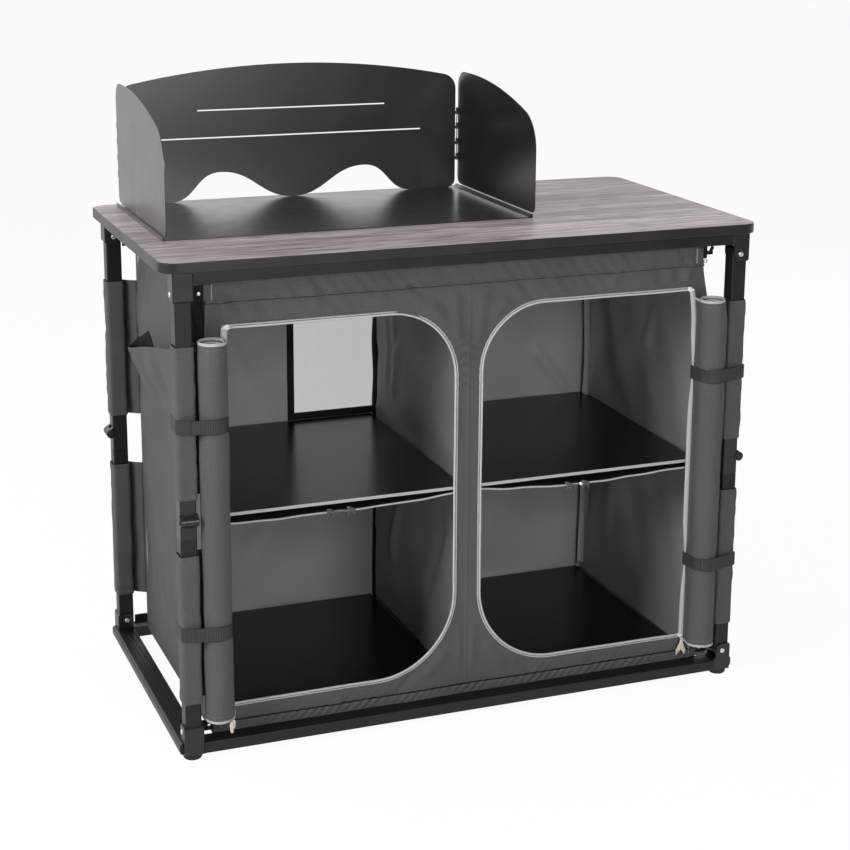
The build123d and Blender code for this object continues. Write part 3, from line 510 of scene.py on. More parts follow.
def window_net():
    """Fine polyester net: dark threads with open squares between them, drawn 2 mm apart."""
    made, tree, place = new_material("net_polyester", "UV")
    thread = maths(tree, "MAXIMUM", *sine_bands(tree, scaled(tree, place, (500, 500, 1))))
    # Below the size of a thread the eye sees the mean cover, so the open squares let a part through
    cover = remap(tree, thread, 0.5, 1.0, 0.46, 0.56)
    surface(tree, linear("#3C3C3E"), 0.7, others={"Alpha": cover})
    return made


# Polyester oxford cloth, dyed grey and coated inside. Its real threads lie about 0.5 mm apart, which
# is too fine to show, so they are drawn at 1.8 mm
CANVAS = woven_cloth("canvas_oxford", "#303031", "#5A5A5B", 1.8, 0.85, 0.02, 0.14)
# The same cloth seen from the cupboard's inside, with its smoother coating
LINING = woven_cloth("canvas_coating", "#757576", "#999999", 1.8, 0.55, 0.0, 0.07)
# Folded grosgrain that binds the window and other edges, dark and matt, ribs 1.6 mm apart. The same dark
# cloth is laid as painted shade on the pocket's gusset, the corner gather, the slings, the divider's rear
# strip, the zips' grooves and the bands' lapped edges
BINDING_AND_PAINTED_SHADE = woven_cloth("binding_grosgrain_and_painted_shade", "#0C0C0D", "#1E1E20", 1.6, 0.8, 0.0, 0.1, 0.15)
# Woven polyester zip tape and binding, light grey, ribs drawn at 1.5 mm
TAPE = woven_cloth("tape_polyester", "#8C8C8C", "#B8B8B8", 1.5, 0.7, 0.02, 0.1)
# Twisted polyester thread of the stitches, grey
THREAD = grained_coat("thread_polyester", "#474749", "#616163", 0.7, 0.5, 0.05)
# Satin black powder coat on aluminium tube and rail, with its faint orange peel
POWDER = grained_coat("aluminium_powder_coated", "#111112", "#1B1B1C", 0.38, 1.2, 0.06, 0.33)
# Glass-filled nylon, moulded black with a fine spark texture
NYLON = grained_coat("nylon_moulded", "#121213", "#1C1C1D", 0.34, 0.9, 0.05, 0.5)
# Moulded black rubber, matt
RUBBER = grained_coat("rubber_moulded", "#101011", "#1A1A1B", 0.75, 1.4, 0.08)
# Sheet steel in black stove enamel under a clear coat, smooth enough to mirror the room softly
STEEL = grained_coat("steel_stove_enamelled", "#08080A", "#0D0D0E", 0.35, 2.5, 0.004, 0.5, 0.55)
# Black ABS edge band with its rounded arris, satin
ABS = grained_coat("abs_edge_band", "#191919", "#232325", 0.36, 1.5, 0.03, 0.4)
# Die-cast zinc zip pulls in a warm grey lacquer
PULL = grained_coat("zinc_lacquered", "#B5AB9D", "#CFC6B9", 0.32, 0.6, 0.04)
# Die-cast zinc zip sliders in a pale lacquer, whose pale colour is partly a painted highlight for the
# metal's glint
SLIDER = grained_coat("zinc_pale_lacquer_painted_glint", "#CDC9C3", "#F0EEEA", 0.25, 0.9, 0.06)
COIL = zip_coil()
WEBBING = webbing()
ZINC = zinc_plate()
OAK = washed_oak()
BOARD = shelf_board()
NET = window_net()


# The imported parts' own finishes


def paint_nodes():
    """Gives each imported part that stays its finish."""
    finishes = {
        "tabletop_board": OAK, "tabletop_edge_band": ABS, "bottom_feet": RUBBER,
        "bottom_pivot_rivets": ZINC, "top_pivot_rivets": ZINC,
        "bottom_corner_brackets": NYLON, "top_corner_brackets": NYLON,
    }
    for name, node in nodes.items():
        finish = finishes.get(name, POWDER)
        if name.endswith("knuckle"):
            finish = NYLON
        if name.startswith("windscreen"):
            finish = STEEL
        if "board_" in name and name.startswith("bottom") or name.startswith("upper_shelf"):
            finish = BOARD
        node.data.materials.clear()
        node.data.materials.append(finish)


# The cupboard's cloth


def soft(piece, *replaced, slot="cupboard_cloth"):
    """Lets a piece of the cupboard ride on the bottom frame, with a mesh of its own."""
    mount(piece, "bottom_frame", slot, *replaced)
    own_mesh(piece)


def flat_front(across, up):
    """How far the front cloth stands out towards the front, in millimetres, at each place."""
    out = unevenness(across, up, 3, (90, 260), 0.9)
    side = np.abs(across)
    # Arched ripples across the strip between the doors, where the zips draw it together
    strip = bell(side, 40) * ease((up - 470) / 50) * ease((655 - up) / 40)
    out += strip * (0.9 + 0.5 * np.sin(up / 29)) * np.sin(math.tau * (up + 0.016 * across ** 2) / 16)
    # Puckers at about 45 degrees between the lower zip and the seam
    low_band = ease((DOOR_BOTTOM - up) / 10) * ease((up - CLOTH_BOTTOM) / 8)
    out += 1.0 * low_band * gathers(across - up, 21, (10, 17))
    # Gathers above the doors
    high_band = ease((up - DOOR_TOP) / 12)
    out += 0.9 * high_band * gathers(across + 0.8 * up, 22, (20, 60))
    folds = (
        (30, 640, 96, 700, 4.6, 8), (60, 668, 104, 716, -3.8, 7), (16, 600, 26, 704, 3.2, 7),
        (30, 110, 74, 60, 3.6, 7), (14, 150, 10, 60, 2.0, 5), (88, 78, 120, 40, -2.8, 6),
        (240, 676, 262, 730, 3.2, 8), (330, 672, 322, 730, -3.0, 9), (150, 676, 136, 730, 3.0, 9),
        (376, 672, 402, 716, 3.6, 7), (352, 676, 384, 722, -3.2, 7), (200, 66, 224, 34, 1.8, 5),
    )
    out += creases(side, up, folds)
    # Seams: in the middle, where both halves are folded in, and near the lower corners
    corner_seam = 1.4 * ease((LOW_SEAM - up) / 3) * bell(side - CORNER_SEAM, 1.3)
    return out + 0.5 * bell(across, 1.8) + corner_seam


def drawn_in(points):
    """Moves the walls' points where the cloth hangs slack from the upper corners at the front."""
    height = ease((points[..., 2] - 610) / 110)
    front = ease((-40 - points[..., 1]) / 150)
    side = ease((np.abs(points[..., 0]) - 330) / 80)
    slack = np.where(points[..., 0] > 0, 15.0, 3.0)
    moved = points.copy()
    moved[..., 0] -= np.sign(points[..., 0]) * slack * height * front * side
    return moved


def on_side(side, patches):
    """The right side's patches, mirrored where side is -1, and drawn in as the walls are."""
    if side < 0:
        patches = mirrored(patches)
    return [(drawn_in(points), flat, finish) for points, flat, finish in patches]


def front_points(across, up, lift=0.0):
    """Points on the front cloth at these places, lifted towards the front."""
    return drawn_in(stack(across, FRONT_Y - lift - flat_front(across, up), up))


def front_patch(across, up, lift=0.0):
    """A patch of the front cloth at these places, lifted towards the front."""
    return front_points(across, up, lift), stack(across, up), 0


def front_stitches(across, up, lift=0.0):
    """A row of stitches on the front cloth along these places."""
    return stitches(front_points(across, up, lift + 0.05), (0, -1, 0), 2)


def door_runs():
    """The right door's outline in four runs, parted at the middle of each rounded corner.

    Each run comes with the run of the panel's edge that it faces.
    """
    foot, head = [(DOOR_OUTER, DOOR_BOTTOM)], [(DOOR_OUTER, DOOR_TOP)]
    inner_runs = (
        (arc(LOW_CENTRE, LOW_CORNER, 225, 270), foot), (foot, head),
        (head, arc(HIGH_CENTRE, HIGH_CORNER, 90, 135)),
        (arc(HIGH_CENTRE, HIGH_CORNER, 135, 180), arc(LOW_CENTRE, LOW_CORNER, 180, 225)),
    )
    edge = np.array([
        (0, LOW_SEAM), (HALF_WIDTH, LOW_SEAM), (HALF_WIDTH, TOP_SEAM), (0, TOP_SEAM), (0, LOW_SEAM),
    ])
    return [(np.concatenate(run), edge[side:side + 2]) for side, run in enumerate(inner_runs)]


def seamed_bands():
    """The bands above and below the doors, which lap over the cloth between them and are stitched
    on. Beyond its stitches, at its lapped edge, each band's last strip is drawn in the dark binding
    cloth as a painted shadow line.
    """
    lap = 1.9
    across = np.linspace(-HALF_WIDTH, HALF_WIDTH, 320)
    patches = []
    # Each band's lowest and highest place, its row of stitches, and on which side of the stitches its
    # painted shadow line lies
    bands = (
        (TOP_SEAM - 3, CLOTH_TOP, TOP_SEAM + 1, -1), (CLOTH_BOTTOM, LOW_SEAM + 3, LOW_SEAM - 1, 1),
    )
    for low, high, row, way in bands:
        a, u = np.meshgrid(across, np.linspace(low, high, 40))
        points, flat, finish = front_patch(a, u, lap + 1.4 * bell(u - TOP_SEAM + 2, 2.5))
        # The strip beyond the stitches takes the fourth finish, the dark binding cloth: a painted shadow
        # line under the lap's edge
        painted_seam_shadow = (u[1:, 1:] - row) * way > 2.6
        patches.append((points, flat, 3 * painted_seam_shadow.astype(int)))
        patches += front_stitches(across, np.full(len(across), row), lap)
    return patches


def cabinet_front():
    """The front cloth: a ring of cloth round each door, and a seamed band above and below."""
    even = shares(17)[:, None, None]
    share = ease(even) * 0.4 + even * 0.6
    right, left = [], []
    for inner, outer in door_runs():
        count = int(lengths_along(inner)[-1] / 5) + 2
        ring = spread(outer, count)[None] * (1 - share) + spread(inner, count)[None] * share
        right.append(front_patch(ring[..., 0], ring[..., 1]))
        left.append(front_patch(-ring[:, ::-1, 0], ring[:, ::-1, 1]))
    patches = right + left + seamed_bands()
    up = np.linspace(LOW_SEAM + 6, TOP_SEAM - 6, 260)
    patches += front_stitches(np.zeros(len(up)), up)
    line, away = zip_path()
    beside = line + ZIP_STITCHES * away
    for side in (-1, 1):
        patches += front_stitches(beside[:, 0] * side, beside[:, 1])
    # The fourth finish, the dark binding cloth, is the painted shadow line at the bands' lapped edges
    finishes = [CANVAS, LINING, THREAD, BINDING_AND_PAINTED_SHADE]
    piece = build("cabinet_front_cloth", patches, finishes, wall=WALL, lined=True)
    soft(piece, "cabinet_front")


# Each side cloth's own folds, as lines of its ridges
SIDE_FOLDS = {
    -1: (
        (225, 632, 182, 570, 4.0, 9), (213, 365, 24, 365, -3.0, 8), (200, 300, 150, 160, 2.5, 12),
        (130, 240, 60, 90, 2.0, 14), (222, 700, 170, 650, -3.0, 10), (150, 700, 120, 600, 3.0, 12),
    ),
    1: (
        (21, 370, 53, 406, -2.5, 8), (-31, 597, 2, 500, -3.5, 13), (203, 560, 203, 64, 3.0, 9),
        (120, 690, 60, 560, 2.5, 20), (80, 300, 130, 120, -3.0, 18), (160, 640, 110, 430, -2.5, 20),
    ),
}


def side_depth(side, across, up):
    """How far a side cloth stands out, in millimetres, at each place: it bellies towards the rear,
    and the shelf's sling holds it in at its own height.
    """
    rear = (across - MIDDLE_Y) / (BACK_Y - MIDDLE_Y)
    height = (up - CLOTH_BOTTOM) / CLOTH_HEIGHT
    edges = ease((1 - np.abs(rear)) * 5) * ease(height * 7) * ease((1 - height) * 9)
    belly = 10 * bell(rear - 0.72, 0.3) * ease((height - 0.25) * 4) * ease((0.97 - height) * 5)
    soft_waves = unevenness(across, up, 31 if side < 0 else 37, (90, 300), 2.2)
    free = 1 - 0.85 * bell(up - SLING_Z, 45)
    return free * (edges * (belly + soft_waves) + creases(across, up, SIDE_FOLDS[side]))


def cabinet_side(side):
    """A side cloth, between the front and the rear cloth, with its own few folds."""
    name = SIDES[side]
    u, v = lattice(90, 130)
    rearward = (FRONT_Y + WALL) + (CLOTH_DEPTH - 2 * WALL) * u
    up = CLOTH_BOTTOM + CLOTH_HEIGHT * v
    points = drawn_in(stack(side * (HALF_WIDTH + side_depth(side, rearward, up)), rearward, up))
    # Inside, the allowance of the rear seam stands out from the wall as a lip, with a gap behind it
    flap_up = np.linspace(FLOOR_Z + 12, CLOTH_TOP - 6, 90)
    reach = np.array([9.6, 10.6, 11.2, 11.6, 12.2, 13.4, 14.2])
    stand = np.array([-1.0, 3.0, 6.0, 9.0, 11.6, 12.2, 11.0])
    sway = (1 + 0.12 * np.sin(flap_up / 41))[:, None]
    flap_x = side * (HALF_WIDTH - WALL - stand[None, :] * sway)
    flap_y = BACK_Y - WALL - reach[None, :] - (1.5 + 1.5 * np.sin(flap_up / 57))[:, None]
    flap = stack(flap_x, flap_y, flap_up[:, None])
    patches = [(points, stack(rearward, up), 0), (flap, places(reach, flap_up), 1)]
    if side < 0:
        patches = [flipped(*patch) for patch in patches]
    piece = build("cabinet_" + name + "_side_cloth", patches, [CANVAS, LINING], wall=WALL, lined=True)
    soft(piece, "cabinet_" + name + "_side")


def cabinet_back():
    """The rear cloth with the window cut out of it, its net, and the binding round the window."""
    columns = (
        (-HALF_WIDTH, -WINDOW_HALF_WIDTH), (-WINDOW_HALF_WIDTH, WINDOW_HALF_WIDTH),
        (WINDOW_HALF_WIDTH, HALF_WIDTH),
    )
    rows = (
        (CLOTH_BOTTOM, WINDOW_BOTTOM, 60), (WINDOW_BOTTOM, WINDOW_TOP, 44), (WINDOW_TOP, CLOTH_TOP, 20),
    )
    patches = []
    for column in range(3):
        for row in range(3):
            if column == 1 and row == 1:
                continue
            a, u = np.meshgrid(np.linspace(*columns[column], 50)[::-1], np.linspace(*rows[row]))
            patches.append((stack(a, back_depth(a, u), u), stack(a, u), 0))
    piece = build("cabinet_back_cloth", patches, [CANVAS, LINING], wall=WALL, lined=True)
    soft(piece, "cabinet_back")


def back_depth(across, up):
    """Where the rear cloth's outer face stands along Y: still round the window, wavy beside it."""
    beside = ease((np.abs(across) - WINDOW_HALF_WIDTH - 16) / 50)
    below = ease((WINDOW_BOTTOM - 20 - up) / 50)
    above = ease((up - WINDOW_TOP - 10) / 30)
    free = np.maximum(np.maximum(beside, below), above)
    edge = ease((HALF_WIDTH - np.abs(across)) / 20)
    edge = edge * ease((CLOTH_TOP - up) / 16) * ease((up - CLOTH_BOTTOM) / 16)
    waves = unevenness(across, up, 41, (80, 260), 2.2)
    lines = (
        (303, 480, 383, 373, -6.0, 11), (-300, 640, -220, 420, 4.0, 16), (-370, 470, -300, 330, -4.0, 12),
        (235, 610, 345, 470, 4.5, 13), (-120, 330, -250, 120, 3.5, 16), (140, 320, 260, 90, -3.5, 16),
        (-380, 300, -290, 160, 3.5, 13), (180, 640, 230, 540, -3.5, 12),
    )
    return BACK_Y + edge * free * (waves + creases(across, up, lines))


def window():
    """The net in the window, and a folded binding sewn over the edge of the cloth all round."""
    u, v = lattice(30, 26)
    across = WINDOW_HALF_WIDTH * (1 - 2 * u)
    up = WINDOW_BOTTOM + WINDOW_HEIGHT * v
    sway = 1.6 * np.sin(math.pi * u) * np.sin(math.pi * v) * np.sin(5 * u + 2 * v)
    depth = BACK_Y - WALL / 2 + sway
    net = build("window_net", [(stack(across, depth, up), stack(across, up), 0)], [NET])
    soft(net)
    overlap = 12.0
    profile = np.array([
        (overlap, 0.1), (overlap - 0.6, 0.8), (1.0, 0.9), (-0.6, 0.4), (-0.6, -WALL - 0.4),
        (1.0, -WALL - 0.9), (overlap - 0.6, -WALL - 0.8), (overlap, -WALL - 0.1),
    ])
    away = np.array([(-1, -1), (1, -1), (1, 1), (-1, 1), (-1, -1)], float)
    middle = (WINDOW_TOP + WINDOW_BOTTOM) / 2
    corner = away * (WINDOW_HALF_WIDTH, WINDOW_HEIGHT / 2) + (0, middle)
    share = shares(24)[:, None]
    patches = []
    for side in range(4):
        path = corner[side] * (1 - share) + corner[side + 1] * share
        outward = away[side] * (1 - share) + away[side + 1] * share
        path = stack(path[:, 0], BACK_Y, path[:, 1])
        outward = stack(outward[:, 0], 0.0, outward[:, 1])
        patches.append(sweep(path, outward, (0, 1, 0), profile))
    soft(build("window_binding", patches, [BINDING_AND_PAINTED_SHADE]), slot="webbing_black")


def cabinet_divider():
    """The middle wall, with the soft folds that run down from the doors' top corners. Its rear
    strip, where it is sewn to the rear cloth, stands out in a wavy fold and is drawn in the dark
    binding cloth as painted shade.
    """
    u, v = lattice(100, 120)
    up = FLOOR_Z + (CLOTH_TOP - FLOOR_Z) * v
    front = FRONT_Y - flat_front(0 * up, up) + WALL + 0.2
    rear = back_depth(0 * up, up) - WALL - 0.2
    rearward = front + (rear - front) * u
    edge = ease(u * 12) * ease((1 - u) * 12) * ease(v * 12) * ease((1 - v) * 12)
    edge = edge * ease(np.abs(up - SLING_Z) / 24)
    out = unevenness(rearward, up, 51, (80, 240), 2.4) * edge
    lines = (
        (75, 552, 127, 425, 7.0, 12), (204, 520, 204, 385, -4.5, 8), (117, 585, 101, 495, 5.0, 10),
        (-60, 640, 40, 600, -4.0, 14), (-150, 560, -60, 470, 4.0, 13), (60, 330, 130, 120, 5.0, 14),
        (-120, 300, -40, 120, -4.5, 16), (160, 640, 150, 420, 4.5, 9),
    )
    out = out + creases(rearward, up, lines)
    rear_fold_and_painted_shade = ease((rearward - BACK_Y + WALL + 17) / 4)
    out = out + rear_fold_and_painted_shade * (1.2 + 1.1 * np.sin(up / 19) * ease((up - SLING_Z) / 30))
    # The rear strip takes the dark binding cloth: painted shade where the divider meets the rear cloth
    finish = (rear_fold_and_painted_shade[:-1, 1:] > 0.5).astype(int)
    patch = flipped(stack(-out - WALL / 2, rearward, up), stack(rearward, up), finish)
    piece = build("cabinet_divider_cloth", [patch], [LINING, BINDING_AND_PAINTED_SHADE], wall=WALL)
    soft(piece, "cabinet_divider")


def cabinet_floor():
    """The floor cloth between the four walls, flat under the boards."""
    u, v = lattice(60, 40)
    across = (HALF_WIDTH - WALL) * (2 * u - 1)
    rearward = FRONT_Y + WALL + (CLOTH_DEPTH - 2 * WALL) * v
    up = FLOOR_Z - 0.3 * (1 + np.sin(across / 37) * np.sin(rearward / 29)) / 2
    patches = [(stack(across, rearward, up), stack(across, rearward), 0)]
    piece = build("cabinet_floor_cloth", patches, [CANVAS], wall=WALL)
    soft(piece, "cabinet_floor")


def shelf_sling(side):
    """The cloth under one shelf board, drawn dark as painted shade: tight under it, its front hem sagging
    below it.
    """
    name = SIDES[side]
    start, end = WALL / 2 + 0.2, HALF_WIDTH - WALL - 0.3
    u, v = lattice(70, 60)
    rearward = SLING_FRONT + (BACK_Y - WALL - SLING_FRONT) * v
    away = start + (end + side_depth(side, rearward, SLING_Z + 0 * u) - start) * u
    rear_edge = back_depth(side * away, SLING_Z + 0 * u) - WALL - 0.5
    rearward = SLING_FRONT + (rear_edge - SLING_FRONT) * v
    # How far the front hem sags below the board, at these distances from the divider
    if side < 0:
        spots, drops = (0, 30, 110, 203, 300, 387, 418), (3, 6, 10, 12, 12, 11, 10)
    else:
        spots, drops = (0, 25, 100, 185, 290, 379, 418), (1, 3, 11, 14, 12, 8, 6)
    curve = np.polynomial.Polynomial.fit(spots, drops, 4)
    front = np.exp(-(rearward - SLING_FRONT) / 110)
    drop = curve(away) * front
    wave = unevenness(away, rearward, 60 + side, (60, 160), 0.8) * front
    up = SLING_Z - drop + np.minimum(wave, drop)
    across = side * away
    patch = stack(across, rearward, up), stack(across, rearward), 0
    if side < 0:
        patch = flipped(*patch)
    # The hem: the cloth's own edge, rolled over a cord
    hem = sweep(patch[0][0], (0, -1, 0), (0, 0, 1), arc((0, -0.6), 1.5, -150, 150, 11), 1)
    # The sling's cloth takes the dark binding cloth as painted shade under the board; its hem is light tape
    piece = build("shelf_sling_" + name, [patch, hem], [BINDING_AND_PAINTED_SHADE, TAPE], wall=0.8)
    soft(piece, "shelf_slings")


def pocket_mouth(y):
    """The height of the pocket's mouth: level in front, falling to the rear, and a little wavy."""
    return POCKET_MOUTH - MOUTH_FALL * np.maximum(y - MOUTH_BEND, 0) + 1.2 * np.sin(y / 34)


def pocket_sheet():
    """The pocket's own sheet: points and flat places, from its seam up to the hem that stands out."""
    u, v = lattice(110, 46)
    y = POCKET_FRONT + (POCKET_REAR - POCKET_FRONT) * u
    height = pocket_mouth(y) - POCKET_SEAM(y)
    up = POCKET_SEAM(y) + height * v
    wrinkles = unevenness(y, up, 91, (50, 150), 0.9) + creases(y, up, (
        (150, 560, 60, 480, 2.2, 8), (40, 585, -30, 500, -2.0, 9), (190, 535, 120, 500, 1.8, 6),
    ))
    depth = 19.0
    stand = depth * v ** 0.8 * ease((u + 0.01) * 14) * (0.8 + 0.2 * ease(height / 60))
    out = 0.8 + stand + wrinkles * np.sin(math.pi * v) * ease(u * 8)
    out = out + 0.7 * ease((height * (v - 1) + 9.5) / 1.5)
    out = np.minimum(side_depth(-1, y, up) + out, 27.0)
    return stack(-HALF_WIDTH - out, y, up), stack(y, up)


def pocket_gusset(sheet):
    """The patch that closes the pocket's rear end, and its width at the mouth.

    It goes from a line on the side cloth, which rises above the mouth, to the sheet's rear edge.
    """
    line = spread(np.array([(115.0, 586.0), (86.0, 563.0), (112.0, 525.0), (184.0, 502.0)]), 14)
    held = stack(-HALF_WIDTH - side_depth(-1, *line.T) - 0.8, line[:, 0], line[:, 1])
    edge = spread(sheet[::-1, -1], 14)
    across = shares(16)
    gusset = held[:, None] * (1 - across[:, None]) + edge[:, None] * across[:, None]
    slack = np.sin(math.pi * across)
    gusset[..., 1] += 6.0 * slack
    gusset[..., 2] -= slack * (2.0 + 1.5 * np.sin(across * 9))
    clear = HALF_WIDTH + side_depth(-1, gusset[..., 1], gusset[..., 2]) + 0.6
    gusset[..., 0] = np.minimum(gusset[..., 0], -clear)
    # The gusset takes the third finish, the dark binding cloth, as painted shade inside the pocket's rear
    # end
    return (gusset, places(across * 110, np.linspace(0, 90, 14)), 2), np.linalg.norm(edge[0] - held[0])


def side_pocket():
    """The pocket on the left side: its sheet with a stitched hem, and its gusset, drawn dark as painted
    shade.
    """
    points, flat = pocket_sheet()
    gusset, gusset_width = pocket_gusset(points)
    # The hem's stitches stand out as far as the sheet does on its eighth row from the mouth
    row = np.linspace(POCKET_FRONT + 6, POCKET_REAR - 6, 200)
    out = np.interp(row, points[0, :, 1], points[-8, :, 0])
    hem = stitches(stack(out - 0.9, row, pocket_mouth(row) - HEM_HEIGHT), (-1, 0, 0), 1)
    patches = [flipped(points, flat), *hem, gusset]
    piece = build("side_pocket_cloth", patches, [CANVAS, THREAD, BINDING_AND_PAINTED_SHADE], wall=1.0)
    soft(piece, "side_pocket")
    length = POCKET_REAR - POCKET_FRONT
    cut = np.linspace(POCKET_FRONT, POCKET_REAR, 200)
    area = np.mean(pocket_mouth(cut) - POCKET_SEAM(cut)) * length + gusset_width * GUSSET_HEIGHT


# The rolled doors, their straps and zips


def roll_radius(up):
    """The roll's radius at each height: drawn in at both straps, a little uneven between them."""
    pinch = np.clip(sum(bell(up - height, 15) for height in STRAP_HEIGHTS), 0, 1)
    loose = ROLL_RADIUS - 0.8 + 0.5 * np.sin(up / 61) + 0.3 * np.sin(up / 23)
    return loose * (1 - pinch) + (ROLL_PINCH - 0.3) * pinch


def wound(theta, up):
    """Points on the right roll's spiral, theta being the angle that the cloth has gone round.

    Going round by one full turn takes the radius in by one pitch. The inner turns end a little
    deeper than the outer one.
    """
    dents = 0.35 * np.sin(3 * theta + up / 40) * ease((4 * math.pi - theta) / math.pi)
    dents = dents - 0.7 * bell((theta - 4.1) * ROLL_RADIUS, 1.6)
    shrink = roll_radius(up) / ROLL_RADIUS
    radius = (ROLL_RADIUS - ROLL_PITCH * theta / math.tau) * shrink + dents
    radius = np.maximum(radius, 0.8)
    turn = math.pi + theta
    deep = 5.0 * ease((theta - 6.0) / 1.2) + 4.0 * ease((theta - 12.0) / 9.0)
    sunk = ROLL_MIDDLE + (up - ROLL_MIDDLE) * (1 - 2 * deep / (ROLL_TOP - ROLL_BOTTOM))
    return stack(ROLL_X + radius * np.cos(turn), ROLL_Y + radius * np.sin(turn), sunk)


def door_roll(side):
    """The rolled door: a flat strip that leaves the opening's outer edge, and then the spiral. Its
    ends are edged in tape.
    """
    name = SIDES[side]
    ends = np.array([0, 1.5, 4.2, 4.8, 8.5])
    body = np.linspace(ROLL_BOTTOM + 13, ROLL_TOP - 13, 66)
    heights = np.concatenate([ROLL_BOTTOM + ends, body, ROLL_TOP - ends[::-1]])
    angle = np.linspace(0, math.tau * ROLL_TURNS, int(44 * ROLL_TURNS))
    spiral = wound(*np.meshgrid(angle, heights))
    hinge = stack(DOOR_OUTER - 1.0, FRONT_Y - 0.6, heights)[:, None]
    strip = shares(8)[:-1]
    leaving = hinge * (1 - strip[:, None]) + spiral[:, :1] * strip[:, None]
    held = sum(bell(heights - height, 22) for height in STRAP_HEIGHTS)
    leaving[..., 0] += 1.5 * np.sin(math.pi * strip) * (1 - held)[:, None]
    points = np.concatenate([leaving, spiral], axis=1)
    # The door's width is walked along one level of the roll
    walked = lengths_along(points[10])
    finish = np.zeros((len(heights) - 1, points.shape[1] - 1), int)
    finish[:2] = 1
    finish[-2:] = 1
    patches = [(points, places(walked, heights), finish)]
    around = np.linspace(0.3, 5.9, 90)
    for height in (ROLL_BOTTOM + 10.5, ROLL_TOP - 10.5):
        row = wound(around, np.full(len(around), height))
        patches += stitches(row, unit(row - (ROLL_X, ROLL_Y, height)), 2)
    piece = build(
        name + "_door_rolled", on_side(side, patches), [CANVAS, TAPE, THREAD],
        wall=ROLL_CLOTH, offset=1.0, sharp=60,
    )
    soft(piece, name + "_door_roll")


def hull(points, count):
    """The tight closed outline round some points: the farthest of them in each direction."""
    heading = np.linspace(0, math.tau, 1440, endpoint=False)
    reach = points @ np.stack([np.cos(heading), np.sin(heading)])
    farthest = np.argmax(reach, axis=0)
    keep = farthest != np.roll(farthest, 1)
    corners = points[farthest[keep]]
    closed = np.concatenate([corners, corners[:1]])
    return spread(closed, count)


def loop_outline(clearance, count=160):
    """The right strap's path round the roll, the hinge's piping and the leg, at a clearance."""
    leg_low, leg_high = span("fr_upper_sleeve")
    pins = [
        arc((ROLL_X, ROLL_Y), ROLL_PINCH + clearance, 0, 360, 181),
        arc((PIPING_X, PIPING_Y), PIPING_PINCH + clearance, 0, 360, 61),
    ]
    for x in (leg_low[0], leg_high[0]):
        for y in (leg_low[1], leg_high[1]):
            pins.append(arc((x, y), clearance, 0, 360, 33))
    return hull(np.concatenate(pins), count)


def ribbed_strip(path, width, thickness, ribs=8):
    """Webbing carried along a level path: a closed section with ribs along its two faces."""
    tangent = unit(np.gradient(path, axis=0))
    out = stack(tangent[:, 1], -tangent[:, 0], 0.0)
    across = np.linspace(-width / 2, width / 2, 6 * ribs + 1)
    ridge = 0.1 * np.abs(np.sin(math.pi * ribs * (across / width + 0.5))) - 0.05
    edge = np.where(np.abs(across) > width / 2 - 0.1, -thickness / 2 + 0.1, 0)
    half = thickness / 2 + ridge + edge
    outer, inner = stack(across, half), stack(across, -half)[::-1]
    return sweep(path, (0, 0, 1), out, np.concatenate([outer, inner, outer[:1]]))


def door_strap(side, number, height):
    """One strap: a loop round the roll and the leg, with its tail lapped over it and held down."""
    outline = loop_outline(0.6 + STRAP_THICKNESS / 2)
    tilt = 1.2 * np.sin(np.linspace(0, math.tau, len(outline)) + number)
    loop = stack(outline[:, 0], outline[:, 1], height + tilt)
    lap = loop_outline(0.8 + 1.5 * STRAP_THICKNESS)
    start = int(0.55 * len(lap))
    tail = lap[start:start + 36]
    lift = 2.2 * ease((shares(len(tail)) - 0.75) * 4)
    tail = tail + unit(tail - lap.mean(axis=0)) * lift[:, None]
    tail = stack(tail[:, 0], tail[:, 1], height + 0.8)
    patches = [
        ribbed_strip(loop, STRAP_WIDTH, STRAP_THICKNESS),
        ribbed_strip(tail, STRAP_WIDTH - 1.0, STRAP_THICKNESS),
    ]
    if side < 0:
        patches = mirrored(patches)
    piece = build("%s_strap_%d" % (SIDES[side], number), patches, [WEBBING], sharp=40)
    soft(piece, "door_straps", slot="webbing_black")


def zip_path():
    """The right door's zip line, from the top outer corner round to the bottom one, and the
    direction away from the door at each point, both in X and Z.
    """
    line = spread(np.concatenate([
        [(DOOR_OUTER, DOOR_TOP)], arc(HIGH_CENTRE, HIGH_CORNER, 90, 180),
        arc(LOW_CENTRE, LOW_CORNER, 180, 270), [(DOOR_OUTER, DOOR_BOTTOM)],
    ]), 260)
    tangent = unit(np.gradient(line, axis=0))
    return line, stack(tangent[:, 1], -tangent[:, 0])


def door_zip(side):
    """A zip along the three sides that open: its coil at the edge, a fine groove in painted shade, and the
    tape.
    """
    name = SIDES[side]
    line, away = zip_path()
    walked = lengths_along(line)
    coil = np.array([(-1.6, -1.0), (-1.8, 0.5), (-1.2, 1.5), (-0.1, 1.9), (1.0, 1.5), (1.6, 0.5)])
    groove = np.array([(1.6, 0.5), (1.8, 0.2), (2.1, 0.2), (2.3, 0.5)])
    tape = np.array([(2.3, 0.5), (2.6, 1.2), (3.6, 1.4), (4.4, 1.0), (4.6, -0.1)])
    patches = []
    # The groove takes the dark binding cloth: painted shade between the coil and the tape
    for profile, finish in ((coil, 1), (groove, 2), (tape, 0)):
        # Each point follows the cloth's own depth at its place
        across = line[None, :, 0] + away[None, :, 0] * profile[:, :1]
        up = line[None, :, 1] + away[None, :, 1] * profile[:, :1]
        points = stack(across, FRONT_Y - flat_front(across, up) - profile[:, 1:], up)
        patches.append((points, places(walked, lengths_along(profile)), finish))
    piece = build(name + "_zip", on_side(side, patches), [TAPE, COIL, BINDING_AND_PAINTED_SHADE], sharp=50)
    soft(piece, "door_zips", slot="zip_grey")


